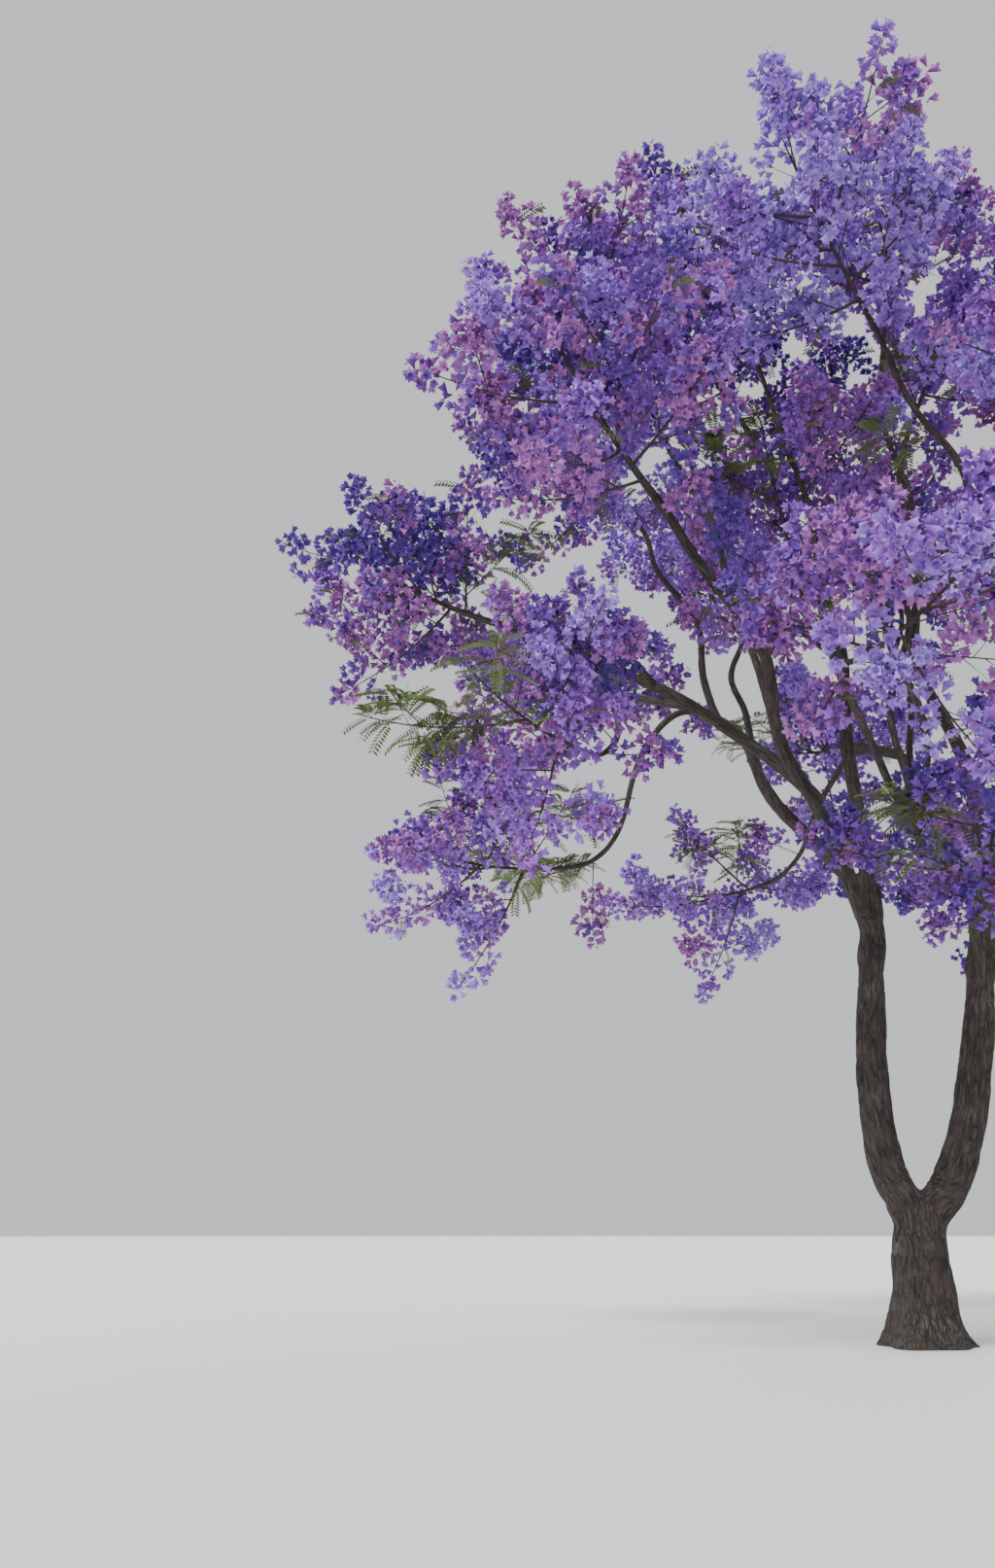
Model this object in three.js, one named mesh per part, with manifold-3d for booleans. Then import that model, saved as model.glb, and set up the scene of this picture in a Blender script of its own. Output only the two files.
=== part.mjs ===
// A jacaranda in full bloom, grown from the ground up: a short flared trunk, two tall stems,
// ten boughs, their side limbs, two lone limbs, and twenty-eight masses of blossom.
// Millimetres, +Z up. The origin is the middle of the flat cut at ground level, +X is to the
// right and +Y away from someone who looks at the tree from the front.

import * as THREE from "three";
import { mergeVertices } from "three/addons/utils/BufferGeometryUtils.js";
import Module from "manifold-3d";

const wasm = await Module();
wasm.setup();

// The whole tree
const SEED = 20611;
const SEED_STEP = 97; // from one mass's seed to the next one's
const JOINT_GAP = 0.3; // between one limb's end and the next one's start
const CLEARANCE = 25; // between a mass and its neighbours or a limb that passes it
const MERGE_DISTANCE = 0.001;

// Sides and steps of each kind of limb
const FACES = {
  trunk: { sides: 16, steps: 5 },
  stem: { sides: 8, steps: 6 },
  bough: { sides: 6, steps: 5 },
  limb: { sides: 5, steps: 4 },
};

// The trunk, from the ground to its fork
const TRUNK = {
  forkHeight: 1500,
  forkShift: 40,
  baseRadius: 400,
  topRadius: 380,
  flareRadius: 250, // how far the roots swell the foot beyond the bole
  flareHeight: 340, // the height at which the swelling has shrunk to a third
  // Waves round the foot make its roots stand out unevenly. Turns are in radians.
  buttresses: [
    { count: 3, depth: 0.22, turn: 0 },
    { count: 5, depth: 0.26, turn: 1 },
  ],
};

// Two stems that part low down, swing out and then rise nearly upright
const STEMS = [
  {
    name: "left_stem",
    baseRadius: 265,
    tipRadius: 165,
    leaveAzimuth: 178,
    leaveRise: 66,
    head: [-20, 240, 7000],
    headAzimuth: 80,
    headRise: 82,
  },
  {
    name: "right_stem",
    baseRadius: 280,
    tipRadius: 175,
    leaveAzimuth: -4,
    leaveRise: 49,
    head: [1620, -160, 6800],
    headAzimuth: -15,
    headRise: 80,
  },
];
const STEM_HANDLE = 0.24; // how far a limb keeps to its heading at each end, as a share of its length
const HANDLE = 0.36;

// The crown's rings of blossom: distance from the tree's axis and height of their middles
const RINGS = {
  low: { radius: 6600, height: 8000, turn: 26 },
  tip: { radius: 7350, height: 11800, turn: 0 },
  upper: { radius: 5050, height: 14800, turn: -24 },
  inner: { radius: 2450, height: 16850, turn: 0 },
};
const RING_JITTER = { radius: 450, height: 600, turn: 5 };
const INNER_COUNT = 5;

// Outer boughs stand evenly round the tree. Each is given its stem, and the share of the
// stem's length at which it leaves; a share of 1 is the stem's head.
const OUTER_BOUGHS = [
  { stem: 1, leave: 0.74 },
  { stem: 1, leave: 1 },
  { stem: 1, leave: 1 },
  { stem: 1, leave: 0.83 },
  { stem: 0, leave: 0.85 },
  { stem: 0, leave: 1 },
  { stem: 0, leave: 0.73 },
];
const FIRST_AZIMUTH = -77;
const BOUGH = {
  baseRadius: 128,
  tipRadius: 62,
  leaveRise: [48, 58], // each bough's own lies between the two
  endRise: [12, 26],
  sway: 0.045,
};

// Each bough has two side limbs: the share of the bough at which they leave, and their rise
const LIMB = { baseRadius: 66, tipRadius: 40, sway: 0.05 };
const SIDE_LIMBS = [
  { kind: "upper", leave: 0.42, leaveRise: 74, endRise: 50 },
  { kind: "lower", leave: 0.6, leaveRise: 24, endRise: -6 },
];

// The stems' own tops, and which mass of the inner ring each one feeds
const LEADER = { baseRadius: 122, tipRadius: 48, sway: 0.035 };
const LEADERS = [
  { name: "left_leader", stem: 0, leave: 1, azimuth: 110, rise: 82, feeds: 2 },
  { name: "right_leader", stem: 1, leave: 1, azimuth: 60, rise: 80, feeds: 0 },
];
const LEADER_END_RISE = 66;

// The middle bough leaves the right stem, crosses towards the left one and forks early
const MIDDLE = {
  stem: 1,
  leave: 0.92,
  leaveAzimuth: 205,
  leaveRise: 40,
  head: [560, -520, 7250],
  headRise: 66,
  headAzimuth: 190,
  baseRadius: 112,
  tipRadius: 92,
};
const MIDDLE_LIMBS = [
  { kind: "left", feeds: 3, leaveRise: 56 },
  { kind: "right", feeds: 4, leaveRise: 58 },
  { kind: "back", feeds: 1, leaveRise: 80 },
];
const MIDDLE_END_RISE = 64;

// Two limbs whose blossom belongs to no ring: it hangs low before both stems, and fills the
// heart of the crown
const LONE_LIMBS = [
  {
    name: "front",
    parent: "right_stem",
    leave: 0.6,
    leaveRise: 42,
    endRise: 4,
    centre: [560, -3300, 6300],
  },
  {
    name: "heart",
    parent: "left_leader",
    leave: 0.35,
    leaveRise: 46,
    endRise: 62,
    centre: [-1400, -1400, 12600],
  },
];

// The collar that a child limb grows from, and the swelling where a limb's end forks. Widths
// are shares of the child's or the fork's own radius.
const COLLAR = {
  foot: 1.12,
  forkRoom: 1.1,
  sideRoom: 1.15,
  step: 10, // a collar on a limb's side is lengthened by such steps
  knuckle: 1.1,
};

// A mass of blossom: the space that it keeps to, its stem and the twigs on it
const MASS = {
  halfWidth: 2700,
  halfHeight: 2150,
  stemReach: 1600, // from the limb's tip to the middle of the space
  overshoot: 1700, // and on to the tip of the stem's own spray
  stemTip: 22,
  stemSteps: 4,
  firstTwig: 0.1,
  lastTwig: 0.58,
  twigs: 7,
  twigLength: 3150, // with the spray at its tip
  lengthRange: [0.85, 1.15],
  turnRange: [-20, 20], // how far a twig strays from the golden angle
  twigRadius: 26,
  twigTip: 18,
  twigSteps: 3,
  firstPitch: 84, // the angle between the stem and its lowest twig
  lastPitch: 50,
  sidePitch: 56,
  lift: 0.34, // how strongly every shoot turns up towards the light
};
// The two side sprays of a twig: the share of its length where they leave, and their turn
const SIDE_SPRAYS = [
  { at: 0.14, turnRange: [155, 205] },
  { at: 0.24, turnRange: [-25, 25] },
];
const SIDE_SPRAY_STEPS = 2;
// A spray of blossom: four-sided, slender at its foot, widest past its middle, pointed
const SPRAY = { length: 1700, width: 930, gap: 12 };
const TRIES = [1, 0.86, 0.72, 0.6]; // smaller and smaller, before a twig or a spray is given up

// How a shoot's distance from the wood is measured: its foot may be near, its bare part and
// its spray keep clear by their own radii
const SHOOT_ROOM = { foot: 100, bare: [0.1, 0.5], bareRadius: 60, spray: [0.55, 1], sprayRadius: 260 };

// Straight pieces that stand for a limb where distances are measured
const PIECES = { child: 8, parent: 24, wood: 10 };

const GOLDEN_ANGLE = 137.508;
const UP = new THREE.Vector3(0, 0, 1);
const DICE_FACTOR = 48271;
const DICE_RANGE = 2147483647;

// Numbers that look random and come out the same on every run
function makeRandom(seed) {
  let state = seed;
  return (low, high) => {
    state = (state * DICE_FACTOR) % DICE_RANGE;
    return low + ((high - low) * state) / DICE_RANGE;
  };
}

// A unit vector from its compass angle and its rise above level, in degrees
function heading(azimuth, rise) {
  const a = THREE.MathUtils.degToRad(azimuth);
  const r = THREE.MathUtils.degToRad(rise);
  return new THREE.Vector3(Math.cos(a) * Math.cos(r), Math.sin(a) * Math.cos(r), Math.sin(r));
}

function ringPoint(azimuth, radius, height) {
  return heading(azimuth, 0).multiplyScalar(radius).setZ(height);
}

// The level compass angle of a vector, in degrees
function azimuthOf(vector) {
  return THREE.MathUtils.radToDeg(Math.atan2(vector.y, vector.x));
}

// A direction at right angles to another, level where it can be
function sideOf(direction) {
  const level = new THREE.Vector3().crossVectors(direction, UP);
  return level.length() < 0.05 ? new THREE.Vector3(1, 0, 0) : level.normalize();
}

// One tapering limb along a smooth path that leaves and arrives along its two headings, with a
// gentle sway that dies away at both ends
class Limb {
  constructor({ start, leave, end, arrive, baseRadius, tipRadius, handle = HANDLE, sway = 0, phase = 0 }) {
    const reach = start.distanceTo(end);
    this.start = start;
    this.leave = leave;
    this.end = end;
    this.arrive = arrive;
    this.baseRadius = baseRadius;
    this.tipRadius = tipRadius;
    this.curve = new THREE.CubicBezierCurve3(
      start,
      start.clone().addScaledVector(leave, handle * reach),
      end.clone().addScaledVector(arrive, -handle * reach),
      end,
    );
    this.sway = sway * reach;
    this.phase = phase;
    this.side = sideOf(end.clone().sub(start).normalize());
    this.lift = new THREE.Vector3().crossVectors(this.side, end.clone().sub(start)).normalize();
  }

  pointAt(t) {
    const swing = this.sway * Math.sin(Math.PI * t) ** 2;
    return this.curve
      .getPoint(t)
      .addScaledVector(this.side, swing * Math.sin(3 * Math.PI * t + this.phase))
      .addScaledVector(this.lift, 0.7 * swing * Math.cos(2 * Math.PI * t + this.phase));
  }

  directionAt(t) {
    if (t <= 0) return this.leave.clone();
    if (t >= 1) return this.arrive.clone();
    const step = 0.01;
    return this.pointAt(Math.min(1, t + step))
      .sub(this.pointAt(Math.max(0, t - step)))
      .normalize();
  }

  radiusAt(t) {
    return THREE.MathUtils.lerp(this.baseRadius, this.tipRadius, t);
  }

  // Straight pieces that stand for the limb where its distance from something is measured
  segments(count) {
    return Array.from({ length: count }, (_, i) => ({
      a: this.pointAt(i / count),
      b: this.pointAt((i + 1) / count),
      radius: this.radiusAt(i / count),
    }));
  }
}

// Bends a plain cylinder along a limb. swell gives the radius for a share of the length and an
// angle round the limb.
function limbGeometry(limb, sides, steps, swell = (t) => limb.radiusAt(t)) {
  const geometry = new THREE.CylinderGeometry(1, 1, 1, sides, steps);
  const position = geometry.attributes.position;
  const vertex = new THREE.Vector3();
  const level = sideOf(limb.end.clone().sub(limb.start).normalize());
  for (let i = 0; i < position.count; i++) {
    vertex.fromBufferAttribute(position, i);
    const t = vertex.y + 0.5;
    const along = limb.directionAt(t);
    const across = level.clone().addScaledVector(along, -level.dot(along)).normalize();
    const third = new THREE.Vector3().crossVectors(across, along);
    const angle = Math.atan2(vertex.z, vertex.x);
    const distance = Math.hypot(vertex.x, vertex.z) * swell(t, angle);
    const placed = limb
      .pointAt(t)
      .addScaledVector(across, distance * Math.cos(angle))
      .addScaledVector(third, distance * Math.sin(angle));
    position.setXYZ(i, placed.x, placed.y, placed.z);
  }
  return geometry;
}

// A closed geometry as a solid that can be joined to others
function solidOf(geometry) {
  const bare = geometry.index ? geometry.toNonIndexed() : geometry.clone();
  bare.deleteAttribute("normal");
  bare.deleteAttribute("uv");
  const merged = mergeVertices(bare, MERGE_DISTANCE);
  return new wasm.Manifold(
    new wasm.Mesh({
      numProp: 3,
      vertProperties: merged.attributes.position.array,
      triVerts: new Uint32Array(merged.index.array),
    }),
  );
}

// Joins solids into one, drops loose scraps and fills any hollow that the joining seals
function fuse(solids) {
  const joined = solids.reduce((sum, solid) => sum.add(solid));
  const bodies = joined.decompose();
  return bodies.reduce((largest, body) => (body.volume() > largest.volume() ? body : largest));
}

function geometryOf(solid) {
  const mesh = solid.getMesh();
  const geometry = new THREE.BufferGeometry();
  geometry.setAttribute("position", new THREE.BufferAttribute(new Float32Array(mesh.vertProperties), 3));
  geometry.setIndex(new THREE.BufferAttribute(new Uint32Array(mesh.triVerts), 1));
  geometry.computeVertexNormals();
  return geometry;
}

// A short straight collar that a child limb grows from. The child starts at its flat end.
function collarTo(point, direction, length, radius) {
  return new Limb({
    start: point,
    leave: direction,
    end: point.clone().addScaledVector(direction, length),
    arrive: direction,
    baseRadius: radius * COLLAR.foot,
    tipRadius: radius,
  });
}

// How long the collars of one fork are, so that the limbs that they carry don't touch
function forkLength(children) {
  let length = 0;
  children.forEach((one, i) =>
    children.slice(i + 1).forEach((other) => {
      const width = COLLAR.forkRoom * (one.baseRadius + other.baseRadius);
      length = Math.max(length, width / (2 * Math.sin(one.leave.angleTo(other.leave) / 2)));
    }),
  );
  return length;
}

// Distance between two straight pieces
function distanceBetween(a0, a1, b0, b1) {
  const u = a1.clone().sub(a0);
  const v = b1.clone().sub(b0);
  const w = a0.clone().sub(b0);
  const a = u.dot(u);
  const b = u.dot(v);
  const c = v.dot(v);
  const d = u.dot(w);
  const e = v.dot(w);
  const clamp = (x) => Math.min(1, Math.max(0, x));
  const across = a * c - b * b;
  let s = across > 1e-9 ? clamp((b * e - c * d) / across) : 0;
  const t = clamp((b * s + e) / c);
  s = clamp((b * t - d) / a);
  return a0.clone().addScaledVector(u, s).distanceTo(b0.clone().addScaledVector(v, t));
}

// How long a collar on a limb's side is, so that what it carries stands clear of that limb
function sideLength(parent, share, plan) {
  const angle = parent.directionAt(share).angleTo(plan.leave);
  const lean = plan.baseRadius * COLLAR.foot * Math.abs(Math.cos(angle));
  let length = (parent.radiusAt(share) * COLLAR.sideRoom + lean) / Math.sin(angle);
  while (!standsClear(childOf(parent, share, length, plan), parent)) length += COLLAR.step;
  return length;
}

function standsClear(child, parent) {
  return child.segments(PIECES.child).every((own) =>
    parent.segments(PIECES.parent).every((piece) => {
      const between = distanceBetween(own.a, own.b, piece.a, piece.b);
      return between > own.radius + piece.radius + CLEARANCE;
    }),
  );
}

const random = makeRandom(SEED);
const wood = []; // { name, limb, faces, collars }
const masses = []; // { name, centre, root, heading, radius }

function addWood(name, limb, faces) {
  const piece = { name, limb, faces, collars: [] };
  wood.push(piece);
  return piece;
}

// A child limb that starts at the flat end of a collar of the given length
function childOf(parent, share, length, plan) {
  const start = parent.pointAt(share).addScaledVector(plan.leave, length + JOINT_GAP);
  return new Limb({ ...plan, start });
}

// Grows a child limb from a parent: makes the parent's collar, then the limb
function growFrom(parent, share, length, plan) {
  parent.collars.push(collarTo(parent.limb.pointAt(share), plan.leave, length, plan.baseRadius));
  return childOf(parent.limb, share, length, plan);
}

// A mass of blossom that a limb carries at its tip
function addMass(name, centre, limb) {
  masses.push({
    name,
    centre,
    root: limb.end.clone().addScaledVector(limb.arrive, JOINT_GAP),
    heading: limb.arrive,
    radius: limb.tipRadius,
  });
}

// The middle of a mass on one of the crown's rings
function massCentre(ring, azimuth) {
  return ringPoint(
    azimuth + ring.turn + random(-RING_JITTER.turn, RING_JITTER.turn),
    ring.radius + random(-RING_JITTER.radius, RING_JITTER.radius),
    ring.height + random(-RING_JITTER.height, RING_JITTER.height),
  );
}

// A limb's plan, so that it arrives at its mass with the given rise, short of the mass's middle
function planTo(centre, from, sizes, leave, endRise) {
  const arrive = heading(azimuthOf(centre.clone().sub(from)), endRise);
  return {
    leave,
    end: centre.clone().addScaledVector(arrive, -MASS.stemReach),
    arrive,
    baseRadius: sizes.baseRadius,
    tipRadius: sizes.tipRadius,
    sway: sizes.sway,
    phase: random(0, 2 * Math.PI),
  };
}

// The trunk
const fork = new THREE.Vector3(TRUNK.forkShift, 0, TRUNK.forkHeight);
const trunkLimb = new Limb({
  start: new THREE.Vector3(),
  leave: UP.clone(),
  end: fork,
  arrive: UP.clone(),
  baseRadius: TRUNK.baseRadius,
  tipRadius: TRUNK.topRadius,
});
const trunk = addWood("trunk", trunkLimb, FACES.trunk);

// The bole swells towards the ground into shallow, uneven buttresses
function trunkSwell(t, angle) {
  const flare = TRUNK.flareRadius * Math.exp((-t * TRUNK.forkHeight) / TRUNK.flareHeight);
  const waves = TRUNK.buttresses.map((wave) => wave.depth * Math.cos(wave.count * angle + wave.turn));
  return trunkLimb.radiusAt(t) + flare * waves.reduce((sum, wave) => sum + wave, 1);
}

// The two stems
const stemPlans = STEMS.map((stem) => ({
  leave: heading(stem.leaveAzimuth, stem.leaveRise),
  end: new THREE.Vector3(...stem.head),
  arrive: heading(stem.headAzimuth, stem.headRise),
  baseRadius: stem.baseRadius,
  tipRadius: stem.tipRadius,
  handle: STEM_HANDLE,
}));
const stemCollar = forkLength(stemPlans);
const stems = STEMS.map((stem, i) =>
  addWood(stem.name, growFrom(trunk, 1, stemCollar, stemPlans[i]), FACES.stem),
);

// Plans of every bough, and the masses that each one feeds
const boughPlans = OUTER_BOUGHS.map((bough, i) => {
  const azimuth = FIRST_AZIMUTH + (360 * i) / OUTER_BOUGHS.length;
  const centres = {
    tip: massCentre(RINGS.tip, azimuth),
    upper: massCentre(RINGS.upper, azimuth),
    lower: massCentre(RINGS.low, azimuth),
  };
  const from = stems[bough.stem].limb.pointAt(bough.leave);
  const leave = heading(azimuthOf(centres.tip.clone().sub(from)), random(...BOUGH.leaveRise));
  const plan = planTo(centres.tip, from, BOUGH, leave, random(...BOUGH.endRise));
  return { name: `bough_${i + 1}`, ...bough, centres, plan };
});

const innerCentres = Array.from({ length: INNER_COUNT }, (_, i) =>
  massCentre(RINGS.inner, (360 * i) / INNER_COUNT),
);
const leaderPlans = LEADERS.map((leader) => {
  const centre = innerCentres[leader.feeds];
  const leave = heading(leader.azimuth, leader.rise);
  const plan = planTo(centre, stems[leader.stem].limb.end, LEADER, leave, LEADER_END_RISE);
  return { ...leader, centres: { tip: centre }, plan };
});
const middlePlan = {
  name: "middle_bough",
  stem: MIDDLE.stem,
  leave: MIDDLE.leave,
  centres: {},
  plan: {
    leave: heading(MIDDLE.leaveAzimuth, MIDDLE.leaveRise),
    end: new THREE.Vector3(...MIDDLE.head),
    arrive: heading(MIDDLE.headAzimuth, MIDDLE.headRise),
    baseRadius: MIDDLE.baseRadius,
    tipRadius: MIDDLE.tipRadius,
  },
};

// Grows the boughs of each stem: a fork at its head, and single boughs on its side
const allBoughs = [...boughPlans, ...leaderPlans, middlePlan];
const headCollars = stems.map((_, i) =>
  forkLength(allBoughs.filter((b) => b.stem === i && b.leave === 1).map((b) => b.plan)),
);
for (const bough of allBoughs) {
  const stem = stems[bough.stem];
  const atHead = bough.leave === 1;
  const length = atHead ? headCollars[bough.stem] : sideLength(stem.limb, bough.leave, bough.plan);
  bough.piece = addWood(bough.name, growFrom(stem, bough.leave, length, bough.plan), FACES.bough);
  if (bough.centres.tip) addMass(`${bough.name}_tip_bloom`, bough.centres.tip, bough.piece.limb);
}

// A side limb of a bough, which carries one mass
function growSideLimb(bough, side) {
  const centre = bough.centres[side.kind];
  const foot = bough.piece.limb.pointAt(side.leave);
  const leave = heading(azimuthOf(centre.clone().sub(foot)), side.leaveRise);
  const plan = planTo(centre, foot, LIMB, leave, side.endRise);
  const length = sideLength(bough.piece.limb, side.leave, plan);
  const name = `${bough.name}_${side.kind}`;
  const piece = addWood(`${name}_limb`, growFrom(bough.piece, side.leave, length, plan), FACES.limb);
  addMass(`${name}_bloom`, centre, piece.limb);
}

for (const bough of boughPlans) {
  for (const side of SIDE_LIMBS) growSideLimb(bough, side);
}

// The middle bough's fork, which feeds what is left of the inner ring
const middle = middlePlan.piece;
const middleLimbs = MIDDLE_LIMBS.map((limb) => {
  const centre = innerCentres[limb.feeds];
  const leave = heading(azimuthOf(centre.clone().sub(middle.limb.end)), limb.leaveRise);
  return { ...limb, centre, plan: planTo(centre, middle.limb.end, LIMB, leave, MIDDLE_END_RISE) };
});
const middleCollar = forkLength(middleLimbs.map((limb) => limb.plan));
for (const limb of middleLimbs) {
  const grown = growFrom(middle, 1, middleCollar, limb.plan);
  const piece = addWood(`middle_${limb.kind}_limb`, grown, FACES.limb);
  addMass(`middle_${limb.kind}_bloom`, limb.centre, piece.limb);
}

// The two lone limbs
for (const lone of LONE_LIMBS) {
  const parent = wood.find((piece) => piece.name === lone.parent);
  const centre = new THREE.Vector3(...lone.centre);
  const foot = parent.limb.pointAt(lone.leave);
  const leave = heading(azimuthOf(centre.clone().sub(foot)), lone.leaveRise);
  const plan = planTo(centre, foot, LIMB, leave, lone.endRise);
  const grown = growFrom(parent, lone.leave, sideLength(parent.limb, lone.leave, plan), plan);
  addMass(`${lone.name}_bloom`, centre, addWood(`${lone.name}_limb`, grown, FACES.limb).limb);
}

const woodSegments = wood.flatMap((piece) => [
  ...piece.limb.segments(PIECES.wood),
  ...piece.collars.flatMap((collar) => collar.segments(1)),
]);

// Whether a point lies in a mass's own space: nearer to its middle than to any other mass's,
// and inside the mass's rounded form
function inOwnSpace(mass, point) {
  const offset = point.clone().sub(mass.centre);
  const level = Math.hypot(offset.x, offset.y) / MASS.halfWidth;
  if (Math.hypot(level, offset.z / MASS.halfHeight) > 1) return false;
  return masses.every((other) => {
    if (other === mass) return true;
    const between = other.centre.clone().sub(mass.centre);
    const middle = mass.centre.clone().add(other.centre).multiplyScalar(0.5);
    return point.clone().sub(middle).dot(between) < -CLEARANCE * between.length();
  });
}

function clearOfWood(a, b, radius) {
  return woodSegments.every(
    (piece) => distanceBetween(a, b, piece.a, piece.b) > piece.radius + radius + CLEARANCE,
  );
}

// A shoot whose last two steps are a spray of blossom: it widens, then ends in a point
function shootGeometry(limb, steps, size) {
  return limbGeometry(limb, 4, steps, (t) => {
    const ring = Math.round(t * steps);
    if (ring === steps) return 0;
    return ring === steps - 1 ? (SPRAY.width * size) / 2 : limb.radiusAt(t);
  });
}

// Turns a direction some way up towards the light
function lifted(direction, share) {
  return direction.clone().lerp(UP, share).normalize();
}

// A direction that leaves another at an angle, turned round it
function branchOff(along, pitch, turn) {
  const side = sideOf(along);
  const third = new THREE.Vector3().crossVectors(side, along);
  const p = THREE.MathUtils.degToRad(pitch);
  const a = THREE.MathUtils.degToRad(turn);
  return along
    .clone()
    .multiplyScalar(Math.cos(p))
    .addScaledVector(side, Math.sin(p) * Math.cos(a))
    .addScaledVector(third, Math.sin(p) * Math.sin(a))
    .normalize();
}

function apart(solid, other) {
  return solid.minGap(other, SPRAY.gap) >= SPRAY.gap;
}

// Whether a stretch of a limb, from one share of it to another, is clear of the wood
function stretchIsClear(limb, [from, to], radius) {
  return clearOfWood(limb.pointAt(from), limb.pointAt(to), radius);
}

// Whether all of a shoot but its foot keeps to the mass's space, clear of every limb
function fits(mass, limb, geometry) {
  const position = geometry.attributes.position;
  const corner = new THREE.Vector3();
  for (let i = 0; i < position.count; i++) {
    corner.fromBufferAttribute(position, i);
    const atFoot = corner.distanceTo(limb.start) <= SHOOT_ROOM.foot;
    if (!atFoot && !inOwnSpace(mass, corner)) return false;
  }
  return (
    stretchIsClear(limb, SHOOT_ROOM.bare, SHOOT_ROOM.bareRadius) &&
    stretchIsClear(limb, SHOOT_ROOM.spray, SHOOT_ROOM.sprayRadius)
  );
}

// Grows a shoot with its spray, made smaller until it fits and stands apart from all that
// grows there already, or gives it up
function growShoot(mass, others, plan, length, steps) {
  for (const size of TRIES) {
    const end = plan.start
      .clone()
      .addScaledVector(plan.leave, 0.5 * length * size)
      .addScaledVector(plan.arrive, 0.5 * length * size);
    const limb = new Limb({ ...plan, end });
    const geometry = shootGeometry(limb, steps, size);
    if (!fits(mass, limb, geometry)) continue;
    const solid = solidOf(geometry);
    if (others.every((other) => apart(solid, other))) return { limb, solid };
  }
  return null;
}

// A side spray's plan. It is pointed at its foot, which lies on the twig's axis.
function sidePlan(twig, share, turn) {
  const leave = lifted(branchOff(twig.directionAt(share), MASS.sidePitch, turn), MASS.lift);
  return { start: twig.pointAt(share), leave, arrive: leave, baseRadius: 0, tipRadius: 0 };
}

// A mass: one stem that turns up through the middle of its space and ends in a spray, twigs
// round it by the golden angle that end in sprays too, and a spray on either side of each twig
function growMass(mass, seed) {
  const dice = makeRandom(seed);
  const arrive = lifted(mass.heading, MASS.lift);
  const stem = new Limb({
    start: mass.root,
    leave: mass.heading,
    end: mass.centre.clone().addScaledVector(arrive, MASS.overshoot),
    arrive,
    baseRadius: mass.radius,
    tipRadius: MASS.stemTip,
  });
  const solids = [solidOf(shootGeometry(stem, MASS.stemSteps, 1))];
  for (let i = 0; i < MASS.twigs; i++) {
    const rank = i / (MASS.twigs - 1);
    const share = THREE.MathUtils.lerp(MASS.firstTwig, MASS.lastTwig, rank);
    const pitch = THREE.MathUtils.lerp(MASS.firstPitch, MASS.lastPitch, rank);
    const turn = GOLDEN_ANGLE * i + dice(...MASS.turnRange);
    const leave = branchOff(stem.directionAt(share), pitch, turn);
    const length = MASS.twigLength * dice(...MASS.lengthRange);
    const sideTurns = SIDE_SPRAYS.map((side) => dice(...side.turnRange));
    const plan = {
      start: stem.pointAt(share),
      leave,
      arrive: lifted(leave, MASS.lift),
      baseRadius: MASS.twigRadius,
      tipRadius: MASS.twigTip,
    };
    const twig = growShoot(mass, solids.slice(1), plan, length, MASS.twigSteps);
    if (!twig) continue;
    SIDE_SPRAYS.forEach((side, k) => {
      const plan = sidePlan(twig.limb, side.at, sideTurns[k]);
      const spray = growShoot(mass, solids, plan, SPRAY.length, SIDE_SPRAY_STEPS);
      if (spray) solids.push(spray.solid);
    });
    solids.push(twig.solid);
  }
  return fuse(solids);
}

const BARK = new THREE.MeshStandardMaterial({ color: 0x6b6159, roughness: 0.9, metalness: 0 });
const BLOSSOM = new THREE.MeshStandardMaterial({ color: 0x8466b8, roughness: 0.75, metalness: 0 });

const tree = new THREE.Group();

function addMesh(name, solid, material) {
  const mesh = new THREE.Mesh(geometryOf(solid), material.clone());
  mesh.name = name;
  tree.add(mesh);
}

for (const piece of wood) {
  const swell = piece === trunk ? trunkSwell : undefined;
  const { sides, steps } = piece.faces;
  const parts = [limbGeometry(piece.limb, sides, steps, swell)];
  if (piece.collars.some((collar) => collar.start.distanceTo(piece.limb.end) < MERGE_DISTANCE)) {
    const knuckle = new THREE.IcosahedronGeometry(piece.limb.tipRadius * COLLAR.knuckle, 0);
    parts.push(knuckle.translate(...piece.limb.end.toArray()));
  }
  for (const collar of piece.collars) parts.push(limbGeometry(collar, sides, 1));
  addMesh(piece.name, fuse(parts.map(solidOf)), BARK);
}

masses.forEach((mass, i) => addMesh(mass.name, growMass(mass, SEED + SEED_STEP * (i + 1)), BLOSSOM));

export default tree;
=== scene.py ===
# A jacaranda in full bloom, dressed over its solids: bark on the trunk, boughs and limbs, then
# the twigs that grow on from them, and the blossom and young leaves that the twigs carry.
# Metres, +Z up, origin in the middle of the flat cut under the trunk.

import math

import bmesh
import bpy
import numpy as np
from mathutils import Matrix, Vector, noise


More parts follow.
